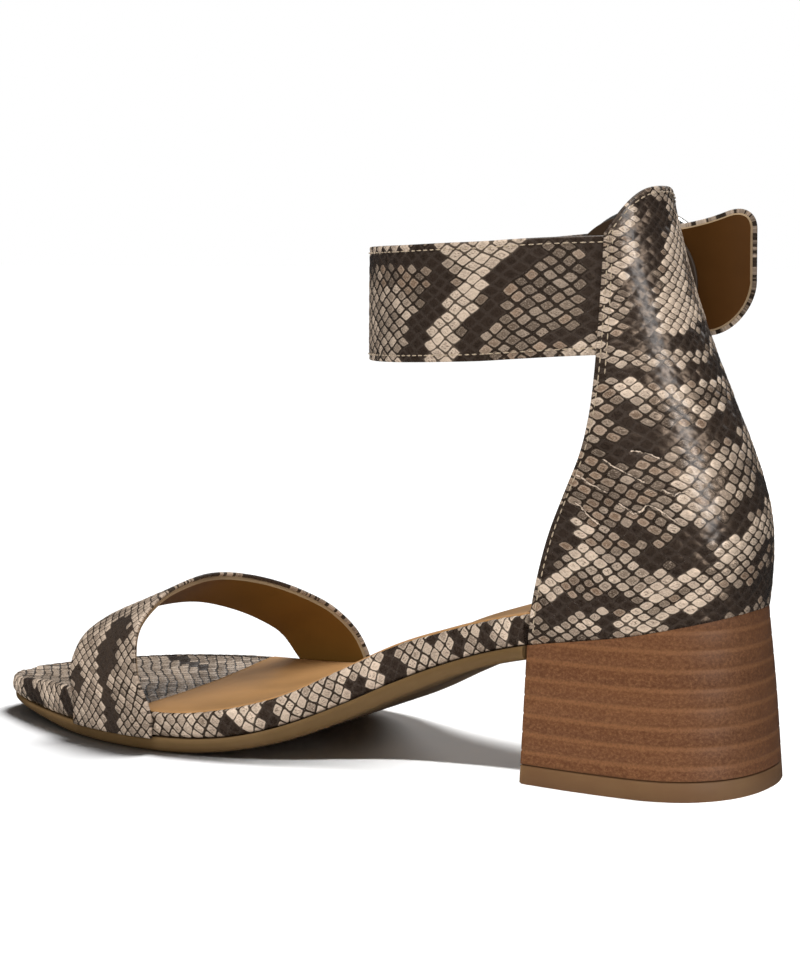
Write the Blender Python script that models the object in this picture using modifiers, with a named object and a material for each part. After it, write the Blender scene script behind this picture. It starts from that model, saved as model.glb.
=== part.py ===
"""Dress sandal for the right foot: block heel, wrapped footbed, vamp strap, closed back, ankle strap.

Tables are in millimetres. x runs from the back of the heel towards the toe, y towards the inner
(medial) side of the foot, z up from the floor. Every finished mesh is in metres, with its origin
on the floor at the middle of the heel's tread.
"""
import math

import bmesh
import bpy
import numpy as np
from mathutils import Matrix, Vector

MM = 0.001
ORIGIN_X = 30.0
FIT_GAP = 0.3
SHARP_ANGLE = 35.0
CURVE_DENSITY = 40
CUT_REACH = 60.0

# Colours
PRINT_COLOUR = (0.34, 0.28, 0.22)
SOCK_COLOUR = (0.50, 0.28, 0.13)
OUTSOLE_COLOUR = (0.23, 0.16, 0.09)
STACK_COLOUR = (0.22, 0.09, 0.045)
LIFT_COLOUR = (0.25, 0.18, 0.11)
METAL_COLOUR = (0.75, 0.74, 0.72)

# Wall and layer thicknesses
QUARTER_WALL = 2.2
STRAP_WALL = 2.0
VAMP_WALL = 2.0
FOLD_WALL = 1.2
INSOLE_THICKNESS = 0.8
LIFT_HEIGHT = 5.0

# Footbed and outsole edges
SIDE_BULGE = 0.4
FOOTBED_DISH = 1.2
DISH_FULL_HALF = 15.0
FOOTBED_TUCK = 0.7
OUTSOLE_MARGIN = 0.8
OUTSOLE_TUCK = 2.6
TUCK_SHARE = 0.2
TOE_SETBACK = 1.8
TOE_SETBACK_START = 190.0
RIM_ROUND = 1.6
THIN_HALF = 0.3
HEEL_SEAT_END = 57.5
END_MARGIN = 0.3
TOE_TIP = (237.8, 1.0)
TOE_MARGIN = 0.6
SEAT_STATIONS = 14
FRONT_STATIONS = 30
OUTSOLE_STATIONS = 36
OUTLINE_POINTS = 600
END_CROWDING = 0.45
TOE_CROWDING = 0.35

# Places across the footbed's top, from the inner rim (1) to the outer rim (-1)
FOOTBED_SHARES = np.array([1.0, 0.55, 0.0, -0.55, -1.0])

# Section of the footbed's wrapped edge: share of the tuck, share of the bulge, share of the height
FOOTBED_SIDE = (
    (1.0, 0.0, 0.0),
    (0.0, 0.0, 0.14),
    (0.0, 1.0, 0.5),
    (0.0, 0.0, 0.82),
    (0.5, 0.0, 0.95),
)

# Section of the outsole's edge: share of the tuck, share of the height
OUTSOLE_SIDE = (
    (1.0, 0.0),
    (0.45, 0.10),
    (0.12, 0.30),
    (0.0, 0.55),
    (0.0, 0.88),
    (0.15, 1.0),
)

# Outline of the footbed seen from above, ahead of the heel seat: x, inner edge y, outer edge y
SOLE_OUTLINE = (
    (46.0, 25.4, -26.0),
    (58.0, 25.0, -26.4),
    (72.0, 23.6, -27.0),
    (84.0, 22.8, -28.0),
    (93.0, 22.6, -29.2),
    (101.0, 23.6, -31.0),
    (112.0, 27.2, -34.2),
    (125.0, 33.0, -38.2),
    (140.0, 37.6, -41.3),
    (155.0, 39.8, -43.2),
    (168.0, 39.8, -43.9),
    (182.0, 37.4, -43.0),
    (196.0, 32.6, -39.6),
    (208.0, 27.0, -35.4),
    (219.0, 21.4, -28.4),
    (228.0, 16.6, -20.2),
    (234.0, 12.0, -12.2),
)

# Side profile of the sole
SOLE_PROFILE = (
    # x, seat z (top of heel and outsole), footbed height inner, footbed height outer, underside z
    (4.0, 45.4, 6.0, 6.0, 41.0),
    (17.0, 42.5, 6.2, 6.2, 38.2),
    (30.0, 39.8, 6.6, 6.6, 35.6),
    (44.0, 37.6, 7.0, 7.0, 33.6),
    (58.0, 35.3, 7.4, 7.4, 31.5),
    (72.0, 31.7, 7.7, 7.9, 27.9),
    (84.0, 27.6, 8.2, 8.5, 23.4),
    (98.6, 21.6, 9.2, 9.4, 17.0),
    (112.0, 15.2, 9.0, 9.2, 10.6),
    (125.0, 9.8, 7.8, 8.4, 5.4),
    (139.0, 6.0, 7.2, 8.0, 2.0),
    (150.0, 4.6, 6.5, 7.8, 0.5),
    (160.0, 4.2, 6.0, 7.7, 0.0),
    (172.0, 4.1, 6.2, 7.6, 0.0),
    (186.0, 4.1, 7.2, 7.6, 0.0),
    (198.0, 4.1, 8.2, 7.6, 0.2),
    (210.0, 4.2, 8.0, 7.4, 0.9),
    (221.0, 4.5, 6.6, 7.2, 1.8),
    (230.0, 5.2, 4.8, 6.3, 2.7),
    (240.0, 6.2, 3.6, 5.0, 4.0),
)

# Heel outlines, a D with its straight side at the breast
HEEL_SECTIONS = (
    # z, breast x, breast half width, back x, depth of the round, half width, roundness
    (0.0, 58.8, 26.4, 1.1, 26.4, 28.7, 2.3),
    (24.0, 57.9, 25.3, 2.5, 27.0, 27.0, 2.25),
    (48.0, 57.0, 24.2, 4.6, 27.7, 25.3, 2.2),
)
HEEL_LAYER = 4.73
HEEL_FIRST_LINE = 8.7
HEEL_LINES = 8
HEEL_GROOVE_DEPTH = 0.25
HEEL_GROOVE_HEIGHT = 0.9
HEEL_TOP = 50.0
HEEL_SEAT_LEVEL = 42.0
HEEL_BREAST_LEVEL = 34.0
SEAT_BACK_SLOPE = 0.22
SEAT_CUT_STATIONS = 17
LIFT_EDGE = 0.5
HEEL_ROUND_POINTS = 25
HEEL_SIDE_POINTS = 4

# Quarter sections, the closed back of the upper
QUARTER_SECTIONS = (
    # z, back x, depth of the round, half width, front edge x, front half width, roundness
    (34.0, 4.9, 27.4, 25.5, 57.0, 24.6, 2.2),
    (45.0, 4.2, 27.6, 26.0, 55.6, 25.0, 2.2),
    (55.0, 3.4, 28.0, 26.8, 52.9, 26.2, 2.2),
    (65.0, 3.4, 28.0, 27.4, 49.4, 27.2, 2.1),
    (75.0, 5.2, 28.0, 27.3, 45.2, 27.3, 2.05),
    (85.0, 8.6, 27.5, 26.5, 41.3, 26.5, 2.0),
    (95.0, 12.8, 26.5, 25.5, 39.2, 25.5, 2.0),
    (105.0, 17.0, 25.5, 24.5, 38.4, 24.5, 2.0),
    (115.0, 21.0, 24.5, 23.7, 38.2, 23.7, 2.0),
    (125.0, 24.6, 23.5, 23.0, 38.2, 23.0, 2.0),
    (135.0, 27.6, 22.5, 22.5, 38.3, 22.5, 2.0),
    (143.0, 29.6, 21.8, 22.1, 38.5, 22.1, 2.0),
    (152.0, 31.4, 21.0, 21.8, 38.8, 21.8, 2.0),
)
QUARTER_PEAK = 150.4
QUARTER_TOP_DROP = 11.4
QUARTER_TOP_POWER = 3.0
QUARTER_BASE_LEVEL = 40.0
QUARTER_COLUMNS = 33
QUARTER_ROWS = 15
ROUND_POINTS = 80
SIDE_POINTS = 20

# Ankle strap, from under the quarter's inner edge round the front of the ankle to the tail
ANKLE_STRAP = (
    # x, y of the wall's middle, inward lean of the upper edge, z of the strap's middle, width
    (34.6, 15.6, 5.4, 123.9, 28.6),
    (39.2, 18.4, 5.0, 123.7, 28.6),
    (48.0, 22.8, 3.6, 123.4, 28.8),
    (57.5, 26.0, 2.6, 122.9, 29.0),
    (68.0, 27.6, 2.0, 122.2, 29.1),
    (80.0, 27.0, 1.6, 121.7, 29.2),
    (94.0, 23.0, 1.2, 121.1, 29.2),
    (105.0, 15.6, 1.0, 120.7, 29.2),
    (113.3, 5.4, 1.0, 120.5, 29.2),
    (114.6, -6.0, 1.0, 120.7, 29.2),
    (109.0, -17.0, 0.8, 121.2, 29.3),
    (99.0, -25.6, 0.6, 122.1, 29.4),
    (87.0, -30.8, 0.2, 123.2, 29.5),
    (74.0, -33.4, 0.0, 124.4, 29.6),
    (54.0, -35.25, 0.0, 126.0, 29.7),
    (40.0, -36.5, 0.0, 127.2, 29.9),
    (35.0, -36.9, 0.0, 128.0, 30.1),
    (30.0, -37.6, 0.0, 129.2, 30.3),
    (23.3, -39.4, 0.0, 131.2, 30.6),
)
STRAP_COLUMNS = 84
STRAP_ROWS = 4
LEAN_FADE = 12.0
TAIL_CORNER = 9.0
TAIL_POINTS = 8
TAIL_MARGIN = 1.15

# Round buckle on the outer side
BUCKLE_X = 54.0
RING_RADIUS = 19.3
RING_WIRE = 1.5
BAR_WIRE = 1.1
BAR_REACH = 14.2
PRONG_WIRE = 1.0
PRONG_OVERHANG = 3.0
PRONG_SLOT_HALF = 1.4
PRONG_SLOT_REAR = -3.2
PRONG_SLOT_FRONT = 6.4
PRONG_POINTS = 26
BUCKLE_SPAN = 8.0
OUTER_SIDE_Y = -20.0
RING_SEGMENTS = 40
WIRE_SIDES = 8
WELD = 1e-6

# Bend of the bar between the ring and its straight middle
BAR_BEND = (
    # share of the way from the ring's level (0) down to the bar's level (1), distance in from the ring
    (0.0, 0.0),
    (0.33, 0.4),
    (0.72, 1.2),
    (0.96, 2.6),
)

# Prong between its wrap and the ring
PRONG_RISE = (
    # forward of the bar, share of the way from the bar's level (0) up to the rest on the ring (1)
    (2.2, 0.49),
    (4.6, 0.69),
    (8.5, 0.9),
    (13.5, 1.0),
    (19.3, 1.0),
)
PRONG_WRAP_FROM = -50.0
PRONG_WRAP_TO = -250.0
PRONG_WRAP_POINTS = 9

# Short strap from the quarter's outer edge to the buckle's bar
BUCKLE_STRAP_WIDTH = 25.0
BUCKLE_STRAP = (
    # x, y of the wall's middle, inward lean of the upper edge, z of the strap's middle, width
    (34.6, -15.6, 5.4, 124.6, 29.0),
    (39.2, -18.4, 4.6, 124.9, 28.6),
    (44.0, -22.6, 2.8, 125.6, 27.4),
    (48.0, -26.4, 1.0, 126.2, 26.0),
    (51.3, -29.0, 0.0, 126.6, 25.0),
)
BUCKLE_STRAP_COLUMNS = 12
EYE_OVERLAP = 0.5
EYE_SIDES = 16

# Vamp strap, inner side to outer side: rear edge x, y, z and front edge x, y, z
VAMP_ARCH = (
    (168.8, 40.5, 22.0, 195.8, 34.0, 18.5),
    (171.3, 36.0, 32.2, 195.2, 29.5, 26.8),
    (171.0, 26.0, 39.6, 191.8, 20.5, 32.6),
    (169.4, 12.0, 43.4, 187.0, 8.0, 35.6),
    (168.8, -3.0, 43.3, 181.8, -6.0, 35.8),
    (164.3, -14.5, 40.9, 177.0, -17.0, 32.6),
    (158.3, -26.0, 36.2, 173.6, -27.5, 27.2),
    (152.4, -36.6, 29.3, 172.4, -39.2, 20.8),
    (148.3, -43.4, 20.6, 171.6, -44.8, 14.4),
)
VAMP_INNER_FOOT = (163.8, 193.0)
VAMP_OUTER_FOOT = (145.5, 170.5)
VAMP_FOOT_SHARE = 0.85
VAMP_COLUMNS = 7
VAMP_ROWS = 34

# Front edge of the insole, across the ball
INSOLE_FRONT_INNER = 166.5
INSOLE_FRONT_OUTER = 184.5
INSOLE_INSET = 2.1
INSOLE_SPARE = 6.0


def smooth(stations, values, at):
    """Cubic curve through the rows of a table, with slopes taken from the neighbouring rows."""
    stations = np.asarray(stations, float)
    values = np.asarray(values, float)
    slopes = np.gradient(values, stations, axis=0)
    at = np.atleast_1d(np.asarray(at, float))
    row = np.clip(np.searchsorted(stations, at) - 1, 0, len(stations) - 2)
    span = stations[row + 1] - stations[row]
    t = np.clip((at - stations[row]) / span, 0.0, 1.0)
    if values.ndim > 1:
        t = t[:, None]
        span = span[:, None]
    start = (2 * t**3 - 3 * t**2 + 1) * values[row] + (t**3 - 2 * t**2 + t) * span * slopes[row]
    end = (3 * t**2 - 2 * t**3) * values[row + 1] + (t**3 - t**2) * span * slopes[row + 1]
    return start + end


def table_row(table, at):
    """Every column after the first, read smoothly at one station."""
    rows = np.array(table, float)
    return smooth(rows[:, 0], rows[:, 1:], at)[0]


def along(points, count):
    """Points spread evenly by length on a smooth curve through the given ones."""
    points = np.asarray(points, float)
    chord = np.r_[0.0, np.cumsum(np.linalg.norm(np.diff(points, axis=0), axis=1))]
    dense = smooth(chord, points, np.linspace(0.0, chord[-1], CURVE_DENSITY * len(points)))
    return resample(dense, count)


def resample(polyline, count):
    """The same polyline with evenly spaced points."""
    length = np.r_[0.0, np.cumsum(np.linalg.norm(np.diff(polyline, axis=0), axis=1))]
    wanted = np.linspace(0.0, length[-1], count)
    return np.stack([np.interp(wanted, length, polyline[:, axis]) for axis in range(polyline.shape[1])], 1)


def to_part(points):
    """Table millimetres to part metres."""
    return (np.asarray(points, float) - (ORIGIN_X, 0.0, 0.0)) * MM


class Studio:
    """The collections and materials that the sandal's objects go into."""

    def __init__(self):
        for thing in list(bpy.data.objects):
            bpy.data.objects.remove(thing, do_unlink=True)
        self.parts = bpy.data.collections.new("dress_sandal")
        self.tools = bpy.data.collections.new("joining_and_cutting_shapes")
        bpy.context.scene.collection.children.link(self.parts)
        bpy.context.scene.collection.children.link(self.tools)

    def add(self, name, mesh, finish=None):
        """A finished piece where a finish is given, else a shape that only joins or cuts."""
        thing = bpy.data.objects.new(name, mesh)
        if finish is None:
            self.tools.objects.link(thing)
            thing.hide_render = True
            thing.display_type = "WIRE"
        else:
            self.parts.objects.link(thing)
            mesh.materials.append(finish)
        return thing


def finish(name, colour, roughness, metallic=0.0):
    """A plain Principled material."""
    material = bpy.data.materials.new(name)
    material.use_nodes = True
    shader = material.node_tree.nodes["Principled BSDF"]
    shader.inputs["Base Color"].default_value = (*colour, 1.0)
    shader.inputs["Roughness"].default_value = roughness
    shader.inputs["Metallic"].default_value = metallic
    return material


def make_mesh(name, points, faces):
    """A mesh in part metres, shaded smooth up to its sharp edges."""
    mesh = bpy.data.meshes.new(name)
    mesh.from_pydata([tuple(point) for point in to_part(points)], [], faces)
    mesh.validate()
    mesh.shade_smooth()
    mesh.set_sharp_from_angle(angle=math.radians(SHARP_ANGLE))
    return mesh


def loft(name, rings):
    """A closed solid through rings of equal point count, capped at both ends."""
    rings = np.asarray(rings, float)
    ring_count, around = rings.shape[:2]
    faces = []
    for ring in range(ring_count - 1):
        for point in range(around):
            after = (point + 1) % around
            low, high = ring * around, (ring + 1) * around
            faces.append((low + point, low + after, high + after, high + point))
    faces.append(tuple(reversed(range(around))))
    faces.append(tuple(range((ring_count - 1) * around, ring_count * around)))
    mesh = make_mesh(name, rings.reshape(-1, 3), faces)
    turn_outward(mesh)
    return mesh


def turn_outward(mesh):
    """Point every face of a closed mesh outwards."""
    shape = bmesh.new()
    shape.from_mesh(mesh)
    bmesh.ops.recalc_face_normals(shape, faces=shape.faces)
    shape.to_mesh(mesh)
    shape.free()


def sheet(name, grid):
    """An open surface through a grid of points, rows by columns."""
    grid = np.asarray(grid, float)
    rows, columns = grid.shape[:2]
    faces = []
    for row in range(rows - 1):
        for col in range(columns - 1):
            corner = row * columns + col
            faces.append((corner, corner + 1, corner + columns + 1, corner + columns))
    return make_mesh(name, grid.reshape(-1, 3), faces)


def thicken(thing, thickness, offset):
    """Give an open surface its wall. offset -1 keeps the surface outside, 0 in the middle."""
    wall = thing.modifiers.new("wall", "SOLIDIFY")
    wall.thickness = thickness * MM
    wall.offset = offset
    wall.use_even_offset = True


def combine(thing, other, operation):
    """Join another closed shape to a piece, or cut it away."""
    step = thing.modifiers.new(operation.lower(), "BOOLEAN")
    step.operation = operation
    step.object = other
    step.solver = "EXACT"


def outline_edges(stations):
    """Inner and outer edge of the footbed ahead of the heel seat, round at the toe."""
    inner = [(x, y) for x, y, _ in SOLE_OUTLINE]
    outer = [(x, y) for x, _, y in reversed(SOLE_OUTLINE)]
    ring = along(inner + [TOE_TIP] + outer, OUTLINE_POINTS)
    tip = ring[:, 0].argmax()
    inner_y = np.interp(stations, ring[: tip + 1, 0], ring[: tip + 1, 1])
    outer_y = np.interp(stations, ring[tip:, 0][::-1], ring[tip:, 1][::-1])
    return inner_y, outer_y


def heel_section(z):
    """Sizes of the heel's D outline at one height."""
    return table_row(HEEL_SECTIONS, z)


def seat_edges(stations):
    """Inner and outer edge of the footbed where the quarter's wall wraps the heel seat."""
    inset = QUARTER_WALL + FIT_GAP + SIDE_BULGE
    breast, breast_half, back, depth, half, power = heel_section(HEEL_SEAT_LEVEL)
    back, depth, half = back + inset, depth - inset, half - inset
    round_part = np.clip((back + depth - stations) / depth, 0.0, 1.0)
    side_part = np.clip((stations - back - depth) / (breast - back - depth), 0.0, 1.0)
    width = half * (1.0 - round_part**power) ** (1.0 / power)
    width = width - (half - breast_half + inset) * side_part**2
    return width, -width


def footbed_edges(stations):
    """Inner and outer edge of the footbed over its whole length."""
    inner, outer = outline_edges(stations)
    seat_inner, seat_outer = seat_edges(stations)
    seated = stations < HEEL_SEAT_END
    return np.where(seated, seat_inner, inner), np.where(seated, seat_outer, outer)


def profile(stations):
    """Seat height, inner and outer footbed height and underside of the sole at each station."""
    rows = np.array(SOLE_PROFILE, float)
    seat, inner, outer, under = smooth(rows[:, 0], rows[:, 1:], stations).T
    return seat, inner, outer, np.maximum(under, 0.0)


def end_spaced(start, end, count):
    """Stations that crowd together towards both ends."""
    share = 0.5 - 0.5 * np.cos(np.linspace(0.0, math.pi, count))
    even = np.linspace(0.0, 1.0, count)
    return start + (end - start) * (END_CROWDING * share + (1.0 - END_CROWDING) * even)


def toe_spaced(start, end, count):
    """Stations that crowd together towards the toe."""
    share = np.sin(np.linspace(0.0, math.pi / 2, count))
    even = np.linspace(0.0, 1.0, count)
    return start + (end - start) * (TOE_CROWDING * share + (1.0 - TOE_CROWDING) * even)


def footbed_stations():
    """Stations of the footbed, close together at the heel's round, the seat's end and the toe."""
    heel_back = heel_section(HEEL_SEAT_LEVEL)[2] + QUARTER_WALL + FIT_GAP + SIDE_BULGE
    seat = end_spaced(heel_back + END_MARGIN, HEEL_SEAT_END - END_MARGIN, SEAT_STATIONS)
    front = toe_spaced(HEEL_SEAT_END + END_MARGIN, TOE_TIP[0] - TOE_MARGIN, FRONT_STATIONS)
    return np.r_[seat, front]


def footbed_top(station, inner, outer, inner_rim, outer_rim):
    """Points across the dished top of the footbed at one station, from rim to rim."""
    middle = 0.5 * (inner + outer)
    half = max(0.5 * (inner - outer) - RIM_ROUND, THIN_HALF)
    depth = FOOTBED_DISH * min(1.0, half / DISH_FULL_HALF)
    across = middle + FOOTBED_SHARES * half
    rim = outer_rim + (inner_rim - outer_rim) * 0.5 * (FOOTBED_SHARES + 1.0)
    height = rim - depth * (1.0 - FOOTBED_SHARES**2)
    return np.stack([np.full(len(across), station), across, height], 1)


def footbed_side(low, rise, tuck):
    """Profile of the footbed's wrapped edge: how far out it stands, and its height."""
    return [(SIDE_BULGE * out - tuck * back, low + rise * up) for back, out, up in FOOTBED_SIDE]


def build_midsole(studio, leather):
    """The wrapped footbed board, dished on top with a rounded rim."""
    stations = footbed_stations()
    rings = []
    rows = zip(stations, *footbed_edges(stations), *profile(stations))
    for x, y_in, y_out, seat, rise_in, rise_out, _ in rows:
        low = seat + FIT_GAP
        tuck = min(FOOTBED_TUCK, TUCK_SHARE * (y_in - y_out))
        side = [(x, y_in + out, z) for out, z in footbed_side(low, rise_in, tuck)]
        far_side = [(x, y_out - out, z) for out, z in footbed_side(low, rise_out, tuck)]
        top = footbed_top(x, y_in, y_out, low + rise_in, low + rise_out)
        rings.append(side + [tuple(point) for point in top] + far_side[::-1])
    return studio.add("midsole", loft("midsole", rings), leather)


def build_insole(studio, leather):
    """The sock on the footbed, its front edge slanting across the ball."""
    stations = footbed_stations()
    keep = stations[1:][stations[1:] < INSOLE_FRONT_OUTER + INSOLE_SPARE]
    rings = []
    for x, y_in, y_out, seat, rise_in, rise_out, _ in zip(keep, *footbed_edges(keep), *profile(keep)):
        low = seat + FIT_GAP
        floor = footbed_top(x, y_in, y_out, low + rise_in, low + rise_out)
        floor[0, 1] -= INSOLE_INSET - RIM_ROUND
        floor[-1, 1] += INSOLE_INSET - RIM_ROUND
        floor[:, 2] += FIT_GAP
        roof = floor[::-1].copy()
        roof[:, 2] += INSOLE_THICKNESS
        rings.append(np.r_[floor, roof])
    insole = studio.add("insole", loft("insole", rings), leather)
    corners = [
        (INSOLE_FRONT_INNER, CUT_REACH),
        (INSOLE_FRONT_OUTER, -CUT_REACH),
        (INSOLE_FRONT_OUTER + CUT_REACH, -CUT_REACH),
        (INSOLE_FRONT_OUTER + CUT_REACH, CUT_REACH),
    ]
    slab = [[(x, y, z) for x, y in corners] for z in (0.0, CUT_REACH)]
    combine(insole, studio.add("insole_front_cut", loft("insole_front_cut", slab)), "DIFFERENCE")
    return insole


def build_outsole(studio, leather):
    """The sole from the heel's breast to the toe, flat under the ball."""
    start = heel_section(HEEL_BREAST_LEVEL)[0] + FIT_GAP
    stations = toe_spaced(start, TOE_TIP[0] - END_MARGIN, OUTSOLE_STATIONS)
    rings = []
    for x, y_in, y_out, top, _, _, low in zip(stations, *outline_edges(stations), *profile(stations)):
        toe = np.clip((x - TOE_SETBACK_START) / (TOE_TIP[0] - TOE_SETBACK_START), 0.0, 1.0)
        reach = OUTSOLE_MARGIN - TOE_SETBACK * toe**2
        tuck = min(OUTSOLE_TUCK, TUCK_SHARE * (y_in - y_out))
        side = [(reach - tuck * back, low + (top - low) * up) for back, up in OUTSOLE_SIDE]
        near = [(x, y_in + out, z) for out, z in side]
        far = [(x, y_out - out, z) for out, z in reversed(side)]
        rings.append(near + far)
    return studio.add("outsole", loft("outsole", rings), leather)


def heel_outline(z, inset=0.0):
    """The heel's D outline at one height, drawn in by an inset."""
    breast, breast_half, back, depth, half, power = heel_section(z)
    back, depth = back + inset, depth - inset
    half, breast_half = half - inset, breast_half - inset
    turn = np.linspace(-math.pi / 2, math.pi / 2, HEEL_ROUND_POINTS)
    round_x = back + depth - depth * np.abs(np.cos(turn)) ** (2.0 / power)
    round_y = half * np.sign(np.sin(turn)) * np.abs(np.sin(turn)) ** (2.0 / power)
    share = np.linspace(0.0, 1.0, HEEL_SIDE_POINTS + 1)[1:]
    side_x = back + depth + (breast - inset - back - depth) * share
    side_y = half - (half - breast_half) * share**2
    x = np.r_[round_x, side_x, side_x[::-1]]
    y = np.r_[round_y, side_y, -side_y[::-1]]
    return np.stack([x, y, np.full(len(x), z)], 1)


def build_heel(studio, stack, lift_finish):
    """The stacked block with a shallow groove at each layer, and its tread plate."""
    levels = [(LIFT_HEIGHT + FIT_GAP, 0.0)]
    for line in range(HEEL_LINES):
        z = HEEL_FIRST_LINE + line * HEEL_LAYER
        levels.append((z - 0.5 * HEEL_GROOVE_HEIGHT, 0.0))
        levels.append((z, HEEL_GROOVE_DEPTH))
        levels.append((z + 0.5 * HEEL_GROOVE_HEIGHT, 0.0))
    levels.append((HEEL_TOP, 0.0))
    block = loft("heel", [heel_outline(z, inset) for z, inset in levels])
    heel = studio.add("heel", block, stack)
    first = SOLE_PROFILE[0][0]
    stations = np.linspace(first - 0.25 * CUT_REACH, first + 1.1 * CUT_REACH, SEAT_CUT_STATIONS)
    seat = profile(stations)[0] + np.maximum(first - stations, 0.0) * SEAT_BACK_SLOPE
    slab = []
    for x, z in zip(stations, seat):
        high = z + CUT_REACH
        slab.append([(x, -CUT_REACH, z), (x, CUT_REACH, z), (x, CUT_REACH, high), (x, -CUT_REACH, high)])
    combine(heel, studio.add("heel_seat_cut", loft("heel_seat_cut", slab)), "DIFFERENCE")
    lift_levels = [(0.0, LIFT_EDGE), (LIFT_EDGE, 0.0), (LIFT_HEIGHT, 0.0)]
    lift = loft("heel_top_lift", [heel_outline(z, inset) for z, inset in lift_levels])
    studio.add("heel_top_lift", lift, lift_finish)
    return heel


def quarter_section(z):
    """Outline of the quarter at one height, from its inner front edge round the back."""
    back, depth, half, front, front_half, power = table_row(QUARTER_SECTIONS, z)
    widest = back + depth
    start = math.asin(max((widest - front) / depth, 0.0) ** (power / 2.0))
    turn = np.linspace(start, math.pi / 2, ROUND_POINTS)
    x = widest - depth * np.sin(turn) ** (2.0 / power)
    y = half * np.cos(turn) ** (2.0 / power)
    if front > widest:
        share = np.linspace(1.0, 0.0, SIDE_POINTS)[:-1]
        x = np.r_[widest + (front - widest) * share, x]
        y = np.r_[half - (half - front_half) * share**2, y]
    side = np.stack([x, y], 1)
    far_side = side[::-1][1:] * (1.0, -1.0)
    return resample(np.r_[side, far_side], QUARTER_COLUMNS)


def quarter_grid():
    """Outer surface of the quarter, from the heel seat to the top line."""
    base = quarter_section(QUARTER_BASE_LEVEL)
    low = profile(base[:, 0])[0] + FIT_GAP
    turn = np.linspace(-1.0, 1.0, QUARTER_COLUMNS)
    high = QUARTER_PEAK - QUARTER_TOP_DROP * np.abs(turn) ** QUARTER_TOP_POWER
    grid = []
    for share in np.linspace(0.0, 1.0, QUARTER_ROWS):
        heights = low + (high - low) * share
        row = [(*quarter_section(z)[col], z) for col, z in enumerate(heights)]
        grid.append(row)
    return grid


def band_grid(path, rows):
    """Middle surface of a strap: path rows are x, y, lean, z and width, which runs up and down."""
    grid = []
    for share in np.linspace(-0.5, 0.5, rows):
        line = []
        for x, y, lean, z, width in path:
            inward = -float(np.clip(y / LEAN_FADE, -1.0, 1.0))
            line.append((x, y + inward * lean * share, z + width * share))
        grid.append(line)
    return grid


def ankle_path():
    """Route of the ankle strap, close points at the tail's end."""
    even = np.linspace(0.0, 1.0, STRAP_COLUMNS)
    path = along(ANKLE_STRAP, 4 * STRAP_COLUMNS)
    length = np.r_[0.0, np.cumsum(np.linalg.norm(np.diff(path[:, :2], axis=0), axis=1))]
    tail = TAIL_CORNER / length[-1]
    corner = 1.0 - tail * (1.0 - np.sin(np.linspace(0.0, math.pi / 2, TAIL_POINTS)))
    share = np.r_[even[even < 1.0 - TAIL_MARGIN * tail], corner]
    wanted = share * length[-1]
    path = np.stack([np.interp(wanted, length, path[:, axis]) for axis in range(5)], 1)
    left = np.clip(length[-1] - wanted, 0.0, TAIL_CORNER)
    rounding = TAIL_CORNER - np.sqrt(np.maximum(TAIL_CORNER**2 - (TAIL_CORNER - left) ** 2, 0.0))
    path[:, 4] -= 2.0 * rounding
    return path


def buckle_frame_axes():
    """Centre, forward, outward and upward direction of the strap at the buckle."""
    path = ankle_path()
    outer = path[path[:, 1] < OUTER_SIDE_Y][::-1]
    middle = np.array([np.interp(BUCKLE_X, outer[:, 0], outer[:, axis]) for axis in (0, 1, 3)])
    ahead = np.array([np.interp(BUCKLE_X + BUCKLE_SPAN, outer[:, 0], outer[:, axis]) for axis in (0, 1, 3)])
    forward = (ahead - middle) / np.linalg.norm(ahead - middle)
    up = np.array([0.0, 0.0, 1.0]) - forward[2] * forward
    up = up / np.linalg.norm(up)
    outward = np.cross(forward, -up)
    outward = outward if outward[1] < 0.0 else -outward
    return middle, forward, outward, up


def at_buckle(forward_mm, outward_mm, up_mm):
    """A point given from the strap's middle at the buckle."""
    middle, forward, outward, up = buckle_frame_axes()
    return middle + forward_mm * forward + outward_mm * outward + up_mm * up


def wire(studio, name, points, radius):
    """A round wire along a smooth route, as a closed mesh."""
    curve = bpy.data.curves.new(name, "CURVE")
    curve.dimensions = "3D"
    curve.bevel_depth = radius * MM
    curve.bevel_resolution = WIRE_SIDES // 2 - 2
    curve.use_fill_caps = True
    spline = curve.splines.new("POLY")
    spline.points.add(len(points) - 1)
    for knot, point in zip(spline.points, to_part(points)):
        knot.co = (*point, 1.0)
    thing = studio.add(name + "_route", curve)
    bpy.context.view_layer.update()
    mesh = bpy.data.meshes.new_from_object(thing.evaluated_get(bpy.context.evaluated_depsgraph_get()))
    bpy.data.objects.remove(thing, do_unlink=True)
    shape = bmesh.new()
    shape.from_mesh(mesh)
    bmesh.ops.remove_doubles(shape, verts=shape.verts, dist=WELD)
    bmesh.ops.recalc_face_normals(shape, faces=shape.faces)
    shape.to_mesh(mesh)
    shape.free()
    mesh.name = name
    return mesh


def bar_drop():
    """How far the bar's axis lies inside the strap's middle."""
    return 0.5 * STRAP_WALL + 2 * FIT_GAP + FOLD_WALL + BAR_WIRE


def ring_lift():
    """How far the ring's axis lies outside the strap's middle."""
    return 0.5 * STRAP_WALL + FIT_GAP + RING_WIRE


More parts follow.
